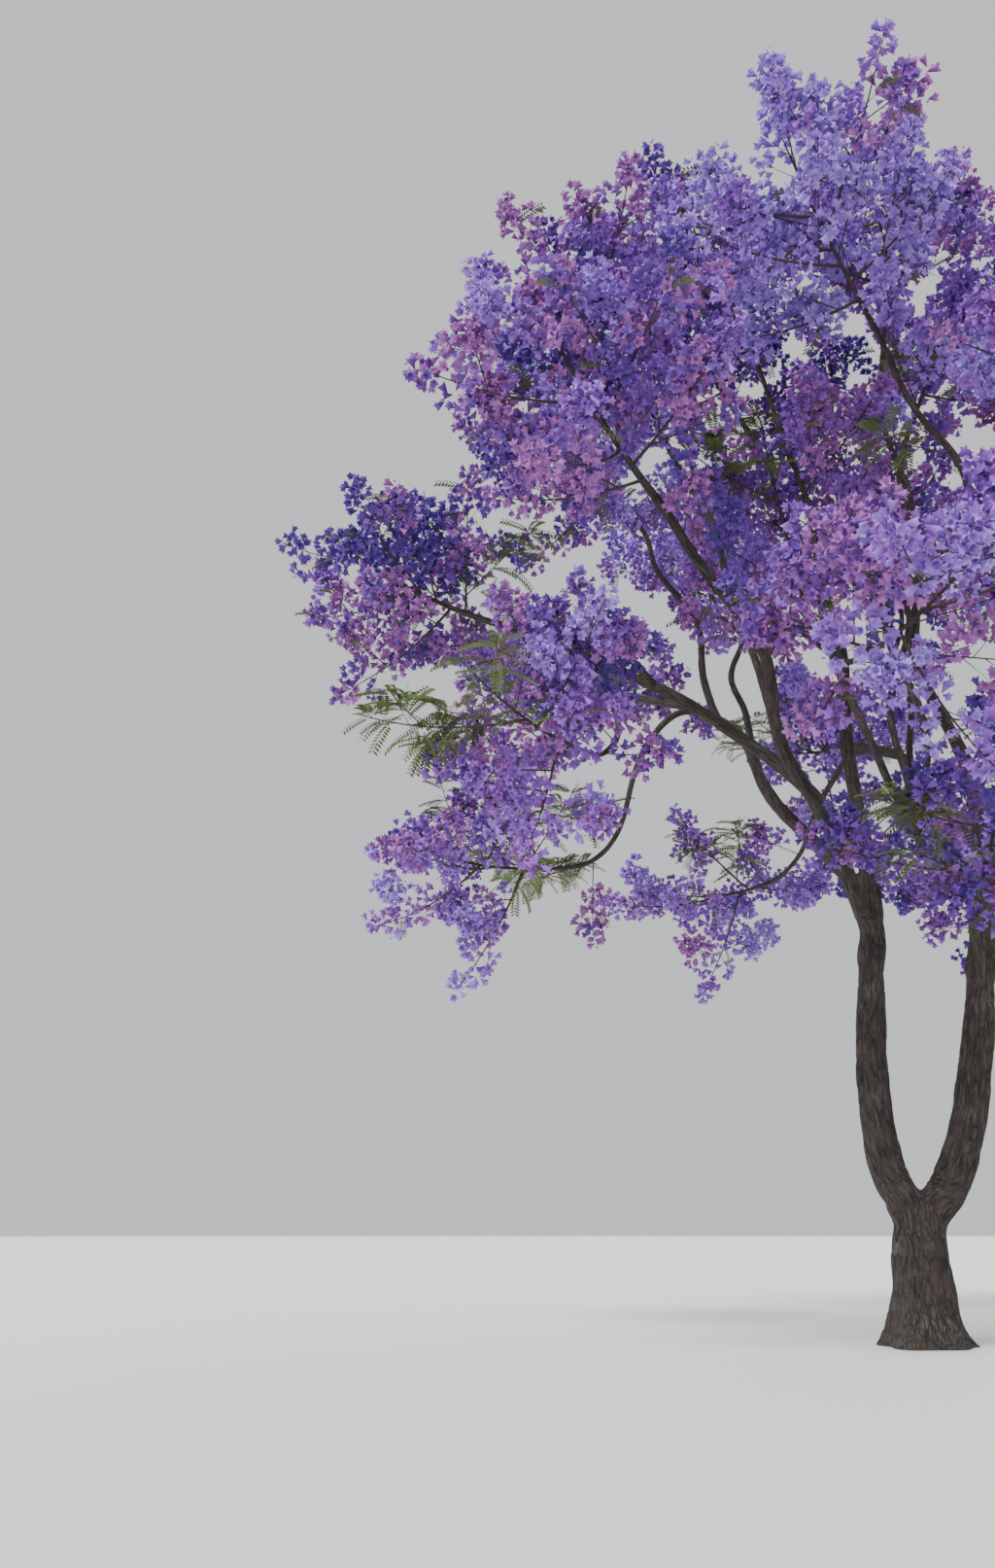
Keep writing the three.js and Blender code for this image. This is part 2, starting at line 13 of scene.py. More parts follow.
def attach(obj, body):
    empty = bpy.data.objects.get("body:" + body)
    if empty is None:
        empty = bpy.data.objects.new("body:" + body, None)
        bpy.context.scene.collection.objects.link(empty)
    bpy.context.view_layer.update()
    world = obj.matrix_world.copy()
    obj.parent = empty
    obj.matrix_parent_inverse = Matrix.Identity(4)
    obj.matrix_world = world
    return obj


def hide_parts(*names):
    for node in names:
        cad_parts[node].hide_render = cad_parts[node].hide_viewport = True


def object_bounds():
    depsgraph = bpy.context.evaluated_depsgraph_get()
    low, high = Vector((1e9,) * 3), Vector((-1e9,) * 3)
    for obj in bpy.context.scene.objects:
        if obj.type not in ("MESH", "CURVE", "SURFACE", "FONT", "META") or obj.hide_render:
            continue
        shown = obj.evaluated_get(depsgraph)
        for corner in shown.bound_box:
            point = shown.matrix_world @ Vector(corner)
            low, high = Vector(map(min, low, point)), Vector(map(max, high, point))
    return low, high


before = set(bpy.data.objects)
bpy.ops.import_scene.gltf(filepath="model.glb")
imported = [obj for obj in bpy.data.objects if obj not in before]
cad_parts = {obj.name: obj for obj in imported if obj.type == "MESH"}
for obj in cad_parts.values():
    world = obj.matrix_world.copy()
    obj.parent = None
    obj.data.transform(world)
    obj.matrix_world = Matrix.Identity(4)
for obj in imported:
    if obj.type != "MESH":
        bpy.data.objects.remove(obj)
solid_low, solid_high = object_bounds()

# Camera
# It stands at a grown person's eye height in front of the tree and to its left, level from side
# to side, and looks up into the crown.
EYE_HEIGHT = 1.5
TREE_AHEAD = 18.6
TREE_TO_THE_RIGHT = 5.95
LOOK_UP = math.radians(20)
LENS_MM = 28.2
LONG_SIDE_MM = 36.0  # of the frame behind the lens
FARTHEST_SEEN = 500.0


def placed(name, data):
    """A new object, put into the scene."""
    made = bpy.data.objects.new(name, data)
    bpy.context.scene.collection.objects.link(made)
    return made


camera = placed("eye", bpy.data.cameras.new("eye"))
camera.data.lens = LENS_MM
camera.data.sensor_width = LONG_SIDE_MM
camera.data.clip_end = FARTHEST_SEEN
camera.location = (-TREE_TO_THE_RIGHT, -TREE_AHEAD, EYE_HEIGHT)
camera.rotation_euler = (math.pi / 2 + LOOK_UP, 0, 0)
bpy.context.scene.camera = camera

# Studio
# A wide round pale floor, a pale surround that lights the tree from all sides, one broad soft light
# from above the camera's left shoulder and a weaker one from behind.
FLOOR = {"radius": 400.0, "sides": 96, "colour": (0.78, 0.77, 0.75), "roughness": 0.9}
SURROUND = {"Color": (0.88, 0.89, 0.92, 1.0), "Strength": 0.85}
LIGHTS = {  # name: strength, and in degrees its softness, and the compass angle and height it is at
    "key": (3.9, 22, -136, 48),
    "back": (1.2, 40, 60, 40),
}


class Value:
    """A shader socket. Arithmetic on it adds the nodes that work it out."""

    def __init__(self, finish, socket):
        self.finish, self.socket = finish, socket

    def _math(self, operation, a, b):
        return self.finish.node("Math", {"operation": operation}, {0: a, 1: b})

    def __add__(self, other):
        return self._math("ADD", self, other)

    def __mul__(self, other):
        return self._math("MULTIPLY", self, other)

    def __sub__(self, other):
        return self._math("SUBTRACT", self, other)

    def __rsub__(self, other):
        return self._math("SUBTRACT", other, self)

    __radd__ = __add__
    __rmul__ = __mul__

    def between(self, low, high):
        """0 below low, 1 above high, smooth in between."""
        settings = {"interpolation_type": "SMOOTHSTEP"}
        inputs = {"Value": self, "From Min": low, "From Max": high}
        return self.finish.node("MapRange", settings, inputs)


class Finish:
    """A material, and the one way in which its nodes are added."""

    def __init__(self, name):
        self.material = bpy.data.materials.new(name)
        self.material.use_nodes = True
        self.tree = self.material.node_tree
        self.surface = self.tree.nodes["Principled BSDF"]

    def node(self, kind, settings=None, inputs=None, output=0):
        made = self.tree.nodes.new(f"ShaderNode{kind}")
        for key, value in (settings or {}).items():
            setattr(made, key, value)
        self.fill(made, inputs or {})
        return Value(self, made.outputs[output])

    def fill(self, made, inputs):
        for key, value in inputs.items():
            if isinstance(value, Value):
                self.tree.links.new(value.socket, made.inputs[key])
            else:
                made.inputs[key].default_value = value

    def mix(self, share, a, b):
        """From colour a, where share is 0, to colour b, where it is 1."""
        a, b = (colour if isinstance(colour, Value) else (*colour, 1) for colour in (a, b))
        inputs = {"Factor": share, 6: a, 7: b}  # 6 and 7 are its two colours, and output 2 their mix
        return self.node("Mix", {"data_type": "RGBA"}, inputs, output=2)


def plain_finish(name, colour, roughness):
    """A finish of one plain colour."""
    finish = Finish(name)
    finish.fill(finish.surface, {"Base Color": (*colour, 1), "Roughness": roughness})
    return finish.material


def ring_of(count, radius, height, first=0.0):
    """Places evenly round an upright axis. The first is that share of a step on from +X."""
    angles = [2 * math.pi * (k + first) / count for k in range(count)]
    return [(radius * math.cos(a), radius * math.sin(a), height) for a in angles]


def heading(azimuth, rise):
    """A direction from its compass angle, counted from +X to +Y, and its rise above level."""
    a = math.radians(azimuth)
    r = math.radians(rise)
    return np.array([math.cos(a) * math.cos(r), math.sin(a) * math.cos(r), math.sin(r)])


floor_mesh = bpy.data.meshes.new("floor")
floor_mesh.from_pydata(ring_of(FLOOR["sides"], FLOOR["radius"], 0), [], [range(FLOOR["sides"])])
floor_mesh.materials.append(plain_finish("pale_floor", FLOOR["colour"], FLOOR["roughness"]))
floor = placed("floor", floor_mesh)

surround = bpy.data.worlds.new("surround")
surround.use_nodes = True
for key, value in SURROUND.items():
    surround.node_tree.nodes["Background"].inputs[key].default_value = value
bpy.context.scene.world = surround

for light_name, (strength, softness, compass, height) in LIGHTS.items():
    lamp = placed(light_name, bpy.data.lights.new(light_name, "SUN"))
    lamp.data.energy = strength
    lamp.data.angle = math.radians(softness)
    lamp.rotation_euler = Vector(heading(compass, height)).to_track_quat("Z", "Y").to_euler()

# Skeleton of the wood
# A jacaranda forks low into stems that swing out and rise, and boughs arch from their heads and
# sides. Every limb is one smooth path that leaves and arrives along a heading, tapers, and
# sways a little. The paths come from the same sizes and the same dice as the solids do.
SEED = 20611
DICE_STEP = 48271
DICE_ROUND = 2147483647
UP = np.array([0.0, 0.0, 1.0])
TRUNK = {"fork": (0.04, 0.0, 1.5), "radii": (0.4, 0.38)}
STEMS = {  # azimuth and rise at which each leaves and arrives, its head and its radii
    "left_stem": ((178, 66), (80, 82), (-0.02, 0.24, 7.0), (0.265, 0.165)),
    "right_stem": ((-4, 49), (-15, 80), (1.62, -0.16, 6.8), (0.28, 0.175)),
}
HANDLE = 0.36  # share of its reach over which a limb keeps its first and its last heading
STEM_HANDLE = 0.24
LIFT_SWAY = 0.7  # how far a limb sways up and down, for each metre from side to side
RINGS = {  # of masses: degrees on from the bough, distance from the middle, height
    "lower": (26, 6.6, 8.0),
    "tip": (0, 7.35, 11.8),
    "upper": (-24, 5.05, 14.8),
    "inner": (0, 2.45, 16.85),
}
RING_JITTER = (5, 0.45, 0.6)
BOUGHS = (  # the stem that each leaves, and the share of its length where it does
    ("right_stem", 0.74), ("right_stem", 1), ("right_stem", 1), ("right_stem", 0.83),
    ("left_stem", 0.85), ("left_stem", 1), ("left_stem", 0.73),
)
FIRST_AZIMUTH = -77
BOUGH = {"radii": (0.128, 0.062), "sway": 0.045}
BOUGH_RISES = ((48, 58), (12, 26))  # where it leaves and where it ends
LIMB = {"radii": (0.066, 0.04), "sway": 0.05}
SIDE_LIMBS = {"upper": (0.42, 74, 50), "lower": (0.6, 24, -6)}  # share of the bough, rise at each end
LEADER = {"radii": (0.122, 0.048), "sway": 0.035}
LEADERS = (  # name, its stem, the inner mass that it feeds, rise at each end, azimuth that it leaves at
    ("left_leader", "left_stem", 2, 82, 66, 110),
    ("right_leader", "right_stem", 0, 80, 66, 60),
)
INNER_COUNT = 5
MIDDLE = ((205, 40), (190, 66), (0.56, -0.52, 7.25), (0.112, 0.092))  # the middle bough, as the stems
MIDDLE_SHARE = 0.92  # of the right stem, where the middle bough leaves it
MIDDLE_LIMBS = (("left", 3, 56, 64), ("right", 4, 58, 64), ("back", 1, 80, 64))  # inner mass, rises
LONE_LIMBS = (  # name, its parent and the share of it, the middle of its mass, rise at each end
    ("front_limb", "right_stem", 0.6, (0.56, -3.3, 6.3), 42, 4),
    ("heart_limb", "left_leader", 0.35, (-1.4, -1.4, 12.6), 46, 62),
)
STEM_REACH = 1.6  # from a limb's tip to the middle of the mass that it feeds
NEARLY_UPRIGHT = 0.05  # a direction that is less than this off upright has no side of its own


def dice(seed):
    """Rolls that look random and come out the same on every run."""
    state = seed

    def roll(low, high):
        nonlocal state
        state = state * DICE_STEP % DICE_ROUND
        return low + (high - low) * state / DICE_ROUND

    return roll


def lengths(vectors):
    """The length of a vector, or of each row."""
    return np.linalg.norm(vectors, axis=-1)


def unit(vectors):
    return vectors / lengths(vectors)[..., None]


def azimuth_of(vector):
    return math.degrees(math.atan2(vector[1], vector[0]))


def from_to(pair, share):
    return pair[0] + (pair[1] - pair[0]) * share


def side_of(direction):
    """A direction at right angles to another, level where it can be."""
    level = np.cross(direction, UP)
    return np.array([1.0, 0.0, 0.0]) if lengths(level) < NEARLY_UPRIGHT else unit(level)


def squared(across, along):
    """Directions turned square to others."""
    return unit(across - (across * along).sum(axis=-1, keepdims=True) * along)


def run_along(points):
    """The length of the way from the first point to each."""
    return np.concatenate([[0], np.cumsum(lengths(np.diff(points, axis=0)))])


class Limb:
    """One tapering limb. Its foot is where its axis meets its parent's, a little before its start."""

    def __init__(self, start, leave, end, arrive, radii, handle=HANDLE, sway=0.0, phase=0.0, foot=None):
        reach = lengths(end - start)
        self.start, self.leave, self.end, self.arrive, self.radii = start, leave, end, arrive, radii
        self.handles = (start, start + handle * reach * leave, end - handle * reach * arrive, end)
        self.sway, self.phase = sway * reach, phase
        self.side = side_of(unit(end - start))
        self.lift = unit(np.cross(self.side, end - start))
        self.foot = start if foot is None else foot

    def point(self, share):
        t = np.asarray(share, float)[..., None]
        a, b, c, d = self.handles
        curve = (1 - t) ** 3 * a + 3 * (1 - t) ** 2 * t * b + 3 * (1 - t) * t * t * c + t**3 * d
        swing = self.sway * np.sin(np.pi * t) ** 2
        across = swing * np.sin(3 * np.pi * t + self.phase) * self.side
        return curve + across + LIFT_SWAY * swing * np.cos(2 * np.pi * t + self.phase) * self.lift

    def direction(self, share, step=0.01):
        if share <= 0:
            return self.leave
        if share >= 1:
            return self.arrive
        return unit(self.point(min(1, share + step)) - self.point(max(0, share - step)))

    def radius(self, share):
        return from_to(self.radii, share)

    def length(self, pieces=32):
        return run_along(self.point(np.linspace(0, 1, pieces + 1)))[-1]


def rows(items, field, width=3, kind=np.float32):
    """One field of a mesh's items, such as its corners' places, with a row for each item."""
    values = np.empty(len(items) * width, kind)
    items.foreach_get(field, values)
    return values.reshape(-1, width)


def corners(node):
    """Every corner of a solid, as rows of x, y and z."""
    return rows(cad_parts[node].data.vertices, "co").astype(float)


limbs = {"trunk": Limb(np.zeros(3), UP, np.array(TRUNK["fork"]), UP, TRUNK["radii"])}
parents = {}  # the name of the limb that each of the others leaves
masses = []  # the mass's node, the middle of its space, and the limb that feeds it
roll = dice(SEED)


def mass_centre(ring, azimuth):
    jitters = [roll(-jitter, jitter) for jitter in RING_JITTER]
    turn, reach, height = np.array(RINGS[ring]) + jitters
    return reach * heading(azimuth + turn, 0) + height * UP


def grow(name, parent, share, leave, **plan):
    """A limb that leaves its parent's axis. It starts where its solid's flat base is."""
    foot = limbs[parent].point(share)
    length = ((corners(name) - foot) @ leave).min()
    limbs[name] = Limb(foot + length * leave, leave, foot=foot, **plan)
    parents[name] = parent


def grow_to_head(name, parent, share, sizes, handle=HANDLE):
    """A limb whose head is at a given place."""
    leave, arrive, head, radii = sizes
    plan = {"end": np.array(head), "arrive": heading(*arrive), "radii": radii, "handle": handle}
    grow(name, parent, share, heading(*leave), **plan)


def grow_to_mass(name, parent, share, centre, sizes, leave_rise, end_rise, azimuth=None):
    """A limb that sways, and ends short of the middle of the mass that it feeds."""
    towards = azimuth_of(centre - limbs[parent].point(share))
    leave = heading(towards if azimuth is None else azimuth, leave_rise)
    arrive = heading(towards, end_rise)
    end = centre - STEM_REACH * arrive
    grow(name, parent, share, leave, end=end, arrive=arrive, phase=roll(0, 2 * math.pi), **sizes)
    node = name.replace("_limb", "_bloom") if name.endswith("_limb") else f"{name}_tip_bloom"
    masses.append((node, centre, limbs[name]))


for name, sizes in STEMS.items():
    grow_to_head(name, "trunk", 1, sizes, STEM_HANDLE)
bough_centres = []
for i, (stem_name, share) in enumerate(BOUGHS):
    azimuth = FIRST_AZIMUTH + 360 * i / len(BOUGHS)
    bough_centres.append({ring: mass_centre(ring, azimuth) for ring in ("tip", "upper", "lower")})
    rises = [roll(*limits) for limits in BOUGH_RISES]
    grow_to_mass(f"bough_{i + 1}", stem_name, share, bough_centres[i]["tip"], BOUGH, *rises)
inner_centres = [mass_centre("inner", 360 * i / INNER_COUNT) for i in range(INNER_COUNT)]
for name, stem_name, feeds, *angles in LEADERS:
    grow_to_mass(name, stem_name, 1, inner_centres[feeds], LEADER, *angles)
grow_to_head("middle_bough", "right_stem", MIDDLE_SHARE, MIDDLE)
for i, centres in enumerate(bough_centres):
    for kind, (share, *rises) in SIDE_LIMBS.items():
        grow_to_mass(f"bough_{i + 1}_{kind}_limb", f"bough_{i + 1}", share, centres[kind], LIMB, *rises)
for kind, feeds, *rises in MIDDLE_LIMBS:
    grow_to_mass(f"middle_{kind}_limb", "middle_bough", 1, inner_centres[feeds], LIMB, *rises)
for name, parent, share, centre, *rises in LONE_LIMBS:
    grow_to_mass(name, parent, share, np.array(centre), LIMB, *rises)

# Bark of the trunk and stems
# Living wood under a grey-brown bark, which splits into long shallow furrows. Its colours are darker
# than in life: painted shade, for the crown's shade over the wood. The trunk, the stems and the swollen
# stubs that the boughs spring from have grown into one, so they are fused here, eased where they
# meet, cut flat at the ground, and given their furrows and lumps.
CORE = ["trunk", "left_stem", "right_stem"]
CORE_TUBE = {"sides": 40, "step": 0.05}
STUB_TUBE = {"sides": 24, "step": 0.03}
FLARE = {"swell": 0.25, "height": 0.34}
BUTTRESSES = ((3, 0.22, 0), (5, 0.26, 1))  # waves round the foot: how many, how deep, turned by
COLLAR = {"swell": 0.45, "fade": 0.16}
STUB = {"length": 1.05, "taper": 0.16, "sink": 0.1}  # it sinks by its end, under the bough's own bark
BELOW_GROUND = 0.08  # the foot is made this much too long and cut flat
FUSE = {"voxel": 0.026, "factor": 0.5, "rounds": 8}
FORK_EASE = {"reach": 1.05, "rounds": 70}  # round a place a little above the trunk's fork
ABOVE_FORK = 0.1
FOOT_EASE = {"reach": 0.42, "rounds": 14}  # round a place between each bough's foot and its start
FOOT_TO_START = 0.6
AXIS_STEP = 0.2
GRAIN_EASE = {"trunk": 0.6, "stem": 0.26}  # how far from its parent's skin a limb's grain is its own
FURROW = {"scale": (14.0, 14.0, 2.6), "steepness": 3.2, "sunk": 0.75, "depth": 0.024}
LUMP = {"size": 0.45, "height": 0.035}
FULL_RELIEF = 0.3  # radius from which wood has all of its relief
NEAR_GROUND = 0.03  # height over which the relief fades in, so that the cut stays flat
# All darker than such bark is in life: painted shade, for the shade that the crown casts over the wood.
# The furrows, ridges, warm stains and lichen are the bark's own.
SHADED_BARK_COLOURS = {
    "furrow": (0.011, 0.009, 0.008),
    "plate": (0.037, 0.029, 0.025),
    "ridge": (0.08, 0.065, 0.054),
    "warm": (0.068, 0.043, 0.029),
    "lichen": (0.13, 0.13, 0.103),
}
BUMP = {"Strength": 0.6, "Distance": 0.014}


def bark_finish(name, furrows):
    """Bark whose pattern runs along each limb. furrows is how strong they are, from 0 to 1."""
    finish = Finish(name)
    grain = finish.node("Attribute", {"attribute_name": "grain"}, output=1)

    def vector(operation, a, b):
        return finish.node("VectorMath", {"operation": operation}, {0: a, 1: b})

    def pattern(kind, settings, place, across, along, inputs, output=0):
        """A pattern with so many repeats to the metre, across the limb and along it."""
        stretched = vector("MULTIPLY", place, (across, across, along))
        return finish.node(kind, settings, {"Vector": stretched, "Scale": 1.0, **inputs}, output)

    def cloud(place, across, along, detail, output=0):
        return pattern("TexNoise", {}, place, across, along, {"Detail": detail}, output)

    def cracks(across, along, width):
        """1 in the cracks between plates, and 0 away from them."""
        settings = {"feature": "DISTANCE_TO_EDGE"}
        return 1 - pattern("TexVoronoi", settings, wavy, across, along, {}).between(0.0, width)

    wander = vector("SUBTRACT", cloud(grain, 4, 1.3, detail=2.0, output=1), (0.5, 0.5, 0.5))
    wavy = vector("ADD", grain, vector("MULTIPLY", wander, (0.11, 0.11, 0.3)))
    depth = cloud(grain, across=3, along=3, detail=2.0).between(0.3, 0.65)
    furrowed = cracks(across=15, along=2.6, width=0.16) * depth * furrows
    scales = cracks(across=38, along=11, width=0.2) * 0.45
    fissures = cloud(wavy, across=34, along=5, detail=6.0).between(0.36, 0.64)
    grit = cloud(grain, across=130, along=70, detail=3.0)
    patches = cloud(grain, across=1.7, along=1.7, detail=4.0).between(0.53, 0.7)
    stains = cloud(grain, across=4, along=0.8, detail=3.0).between(0.45, 0.7)
    layers = (  # how much of each colour lies over those before it
        (fissures, "ridge"),
        (stains * 0.6, "warm"),
        (patches * fissures * 0.75, "lichen"),
        (grit.between(0.45, 0.75) * 0.4, "plate"),
        (scales, "furrow"),
        (furrowed, "furrow"),
    )
    colour = SHADED_BARK_COLOURS["plate"]
    for share, layer in layers:
        colour = finish.mix(share, colour, SHADED_BARK_COLOURS[layer])
    height = fissures * 0.7 + grit * 0.3 - scales - furrowed
    bump = finish.node("Bump", {}, {"Height": height, **BUMP})
    finish.fill(finish.surface, {"Base Color": colour, "Roughness": 0.95 - 0.2 * fissures, "Normal": bump})
    return finish.material


def tube(points, radii, sides, swell=None):
    """A closed tube along points: the rows of its corners, its faces, and its corners' grain."""
    along = unit(np.gradient(points, axis=0))
    across = squared(side_of(unit(points[-1] - points[0])), along)
    third = np.cross(across, along)
    angle = 2 * np.pi * np.arange(sides) / sides
    reach = radii[:, None]
    if swell is not None:
        reach = swell(points[:, 2:3], angle, reach)
    x = reach * np.cos(angle)
    y = reach * np.sin(angle)
    places = points[:, None] + x[..., None] * across[:, None] + y[..., None] * third[:, None]
    run = run_along(points)
    grain = np.stack([x, y, run[:, None] + 0 * x], axis=-1)
    ring_start = np.arange(len(points))[:, None] * sides
    here = ring_start + np.arange(sides)
    turned = ring_start + (np.arange(sides) + 1) % sides
    quads = np.stack([here[:-1], here[1:], turned[1:], turned[:-1]], axis=-1).reshape(-1, 4)
    first, last = here.size, here.size + 1
    ends = [(first, a, b) for a, b in zip(here[0], turned[0])]
    ends += [(last, b, a) for a, b in zip(here[-1], turned[-1])]
    places = np.concatenate([places.reshape(-1, 3), points[:1], points[-1:]])
    grain = np.concatenate([grain.reshape(-1, 3), [[0, 0, run[0]], [0, 0, run[-1]]]])
    return places, quads.tolist() + ends, grain


def give_grain(mesh, grain):
    """Keeps the grain with a mesh's corners, for its bark to read."""
    layer = mesh.attributes.new("grain", "FLOAT_VECTOR", "POINT")
    layer.data.foreach_set("vector", grain.astype(np.float32).ravel())
    mesh.shade_smooth()


def joined(name, tubes):
    """One mesh of several tubes, which keeps their grain."""
    faces = []
    count = 0
    for places, tube_faces, _ in tubes:
        faces += [tuple(corner + count for corner in face) for face in tube_faces]
        count += len(places)
    mesh = bpy.data.meshes.new(name)
    mesh.from_pydata(np.concatenate([places for places, _, _ in tubes]).tolist(), [], faces)
    give_grain(mesh, np.concatenate([grain for _, _, grain in tubes]))
    return mesh


def add_piece(name, mesh, finish, nodes):
    """A finished mesh as a piece of the tree, which stands for the nodes."""
    mesh.materials.append(finish)
    piece = placed(name, mesh)
    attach(piece, "root")
    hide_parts(*nodes)


def flared_foot(height, angle, reach):
    """The root flare: the bole swells towards the ground into uneven buttresses."""
    waves = sum(depth * np.cos(count * angle + turn) for count, depth, turn in BUTTRESSES)
    return reach + FLARE["swell"] * np.exp(-height / FLARE["height"]) * (1 + waves)


def wood_path(name, step, length=np.inf, fewest=4):
    """Points from a limb's foot on its parent's axis to its tip, or as far as length."""
    limb = limbs[name]
    lead = lengths(limb.start - limb.foot)
    before = max(1, round(lead / step)) if lead > 0 else 0
    after = max(fewest, round(limb.length() / step))
    points = [limb.foot + (limb.start - limb.foot) * i / before for i in range(before)]
    points = np.array([*points, *limb.point(np.linspace(0, 1, after + 1))])
    run = run_along(points)
    radii = limb.radius(np.clip((run - lead) / (run[-1] - lead), 0, 1))
    kept = run <= length
    return points[kept], run[kept], radii[kept]


def collar(run):
    """How much thicker a limb is near its foot than further on."""
    return 1 + COLLAR["swell"] * np.exp(-run / COLLAR["fade"])


def takeover(run, end):
    """0 up to the last part of a stub, and 1 from its end on."""
    return np.clip((run - end + STUB["taper"]) / STUB["taper"], 0, 1)


def proud_by(grain, radius):
    """How far the bark stands out at a place: long furrows, and lumps on the larger wood."""
    ridge = abs(noise.noise(Vector(grain * FURROW["scale"])))
    lump = noise.noise(Vector(grain) / LUMP["size"])
    furrow = FURROW["depth"] * (min(ridge * FURROW["steepness"], 1) - FURROW["sunk"])
    return min(1.0, radius / FULL_RELIEF) * (furrow + LUMP["height"] * lump)


boughs = [name for name in limbs if name not in CORE and not name.endswith("_limb")]
core_tubes = []
for name in CORE:
    points, _, radii = wood_path(name, CORE_TUBE["step"])
    if name == "trunk":
        points = np.concatenate([[[0, 0, -BELOW_GROUND]], points])
        radii = np.concatenate([radii[:1], radii])
    core_tubes.append(tube(points, radii, CORE_TUBE["sides"], flared_foot if name == "trunk" else None))
for name in boughs:
    points, run, radii = wood_path(name, STUB_TUBE["step"], STUB["length"])
    radii = radii * collar(run) * (1 - STUB["sink"] * takeover(run, run[-1]))
    core_tubes.append(tube(points, radii, STUB_TUBE["sides"]))
rough = placed("rough_wood", joined("rough_wood", core_tubes))
fuse = rough.modifiers.new("fuse", "REMESH")
fuse.mode = "VOXEL"
fuse.voxel_size = FUSE["voxel"]
ease = rough.modifiers.new("ease", "SMOOTH")
ease.factor = FUSE["factor"]
ease.iterations = FUSE["rounds"]
trunk_mesh = bpy.data.meshes.new_from_object(rough.evaluated_get(bpy.context.evaluated_depsgraph_get()))
bpy.data.objects.remove(rough)

shaping = bmesh.new()
shaping.from_mesh(trunk_mesh)
everything = shaping.verts[:] + shaping.edges[:] + shaping.faces[:]
cut = bmesh.ops.bisect_plane(shaping, geom=everything, plane_no=(0, 0, -1), clear_outer=True)
cut_edges = [item for item in cut["geom_cut"] if isinstance(item, bmesh.types.BMEdge)]
bmesh.ops.contextual_create(shaping, geom=cut_edges)
shaping.to_mesh(trunk_mesh)
shaping.free()

axes = {}  # straight pieces of each axis: start, end, run at the start, radius, two ways across
for name in CORE + boughs:
    points, run, radii = wood_path(name, AXIS_STEP)
    across = side_of(unit(points[-1] - points[0]))
    axes[name] = []
    for a, b, length, radius in zip(points[:-1], points[1:], run, radii):
        if name in CORE or length < STUB["length"]:
            along = unit(b - a)
            flat = squared(across, along)
            axes[name].append((a, b, length, radius, flat, np.cross(flat, along)))


def beside(name, places):
    """How far places are from a limb's skin, and where they are on it: two ways across, and along."""
    away = np.full(len(places), np.inf)
    local = np.zeros((len(places), 3))
    for a, b, run, radius, flat, third in axes[name]:
        span = lengths(b - a)
        share = (places - a) @ (b - a) / span**2
        offset = places - a - np.clip(share, 0, 1)[:, None] * (b - a)
        here = lengths(offset) - radius
        closer = here < away
        away[closer] = here[closer]
        last = b is axes[name][-1][1]
        length = run + np.clip(share, 0, np.inf if last else 1) * span
        local[closer] = np.stack([offset @ flat, offset @ third, length], axis=1)[closer]
    return away, local


def settled(name, local):
    """A limb's grain turned and shifted, so that it starts out as its parent's does at its foot."""
    turn, shift = settling[name]
    c, s = math.cos(turn), math.sin(turn)
    x, y, z = local.T
    return np.stack([c * x + s * y, c * y - s * x, z], axis=1) + shift


settling = {"trunk": (0.0, np.zeros(3))}
for name in CORE[1:] + boughs:
    parent = parents[name]
    foot = limbs[name].foot
    nearest = min(axes[parent], key=lambda row: lengths((row[0] + row[1]) / 2 - foot))
    parent_flat, parent_third = nearest[4:]
    flat, third = axes[name][0][4:]
    turn = settling[parent][0]
    ahead = math.cos(turn) * parent_flat + math.sin(turn) * parent_third
    at_foot = settled(parent, beside(parent, foot[None])[1])[0]
    settling[name] = (math.atan2(ahead @ third, ahead @ flat), at_foot)


def grain_on(name, places):
    """The distance from a limb's skin, and the grain, which eases over from its parent's."""
    away, local = beside(name, places)
    own = settled(name, local)
    if name not in parents:
        return away, own
    parent = parents[name]
    parent_away, parents_grain = grain_on(parent, places)
    share = np.clip(parent_away / GRAIN_EASE["trunk" if parent == "trunk" else "stem"], 0, 1)[:, None]
    return away, parents_grain + (own - parents_grain) * share * share * (3 - 2 * share)


trunk_places = rows(trunk_mesh.vertices, "co").astype(float)
trunk_count = len(trunk_places)
one_end, other_end = rows(trunk_mesh.edges, "vertices", 2, np.int32).T
neighbours = np.bincount(np.concatenate([one_end, other_end]), minlength=trunk_count)[:, None]


def ease_near(places, centre, reach, rounds):
    """Draws each point towards the middle of its neighbours, most at the centre given."""
    weight = np.clip(1 - lengths(places - centre) / reach, 0, 1)[:, None]
    for _ in range(rounds):
        sums = [
            np.bincount(one_end, column[other_end], trunk_count)
            + np.bincount(other_end, column[one_end], trunk_count)
            for column in places.T
        ]
        places = places + weight * (np.stack(sums, axis=1) / neighbours - places)
    return places


def move_trunk(places):
    trunk_mesh.vertices.foreach_set("co", places.astype(np.float32).ravel())
    trunk_mesh.update()


trunk_places = ease_near(trunk_places, limbs["trunk"].end + ABOVE_FORK * UP, **FORK_EASE)
for name in boughs:
    centre = from_to((limbs[name].foot, limbs[name].start), FOOT_TO_START)
    trunk_places = ease_near(trunk_places, centre, **FOOT_EASE)
move_trunk(trunk_places)

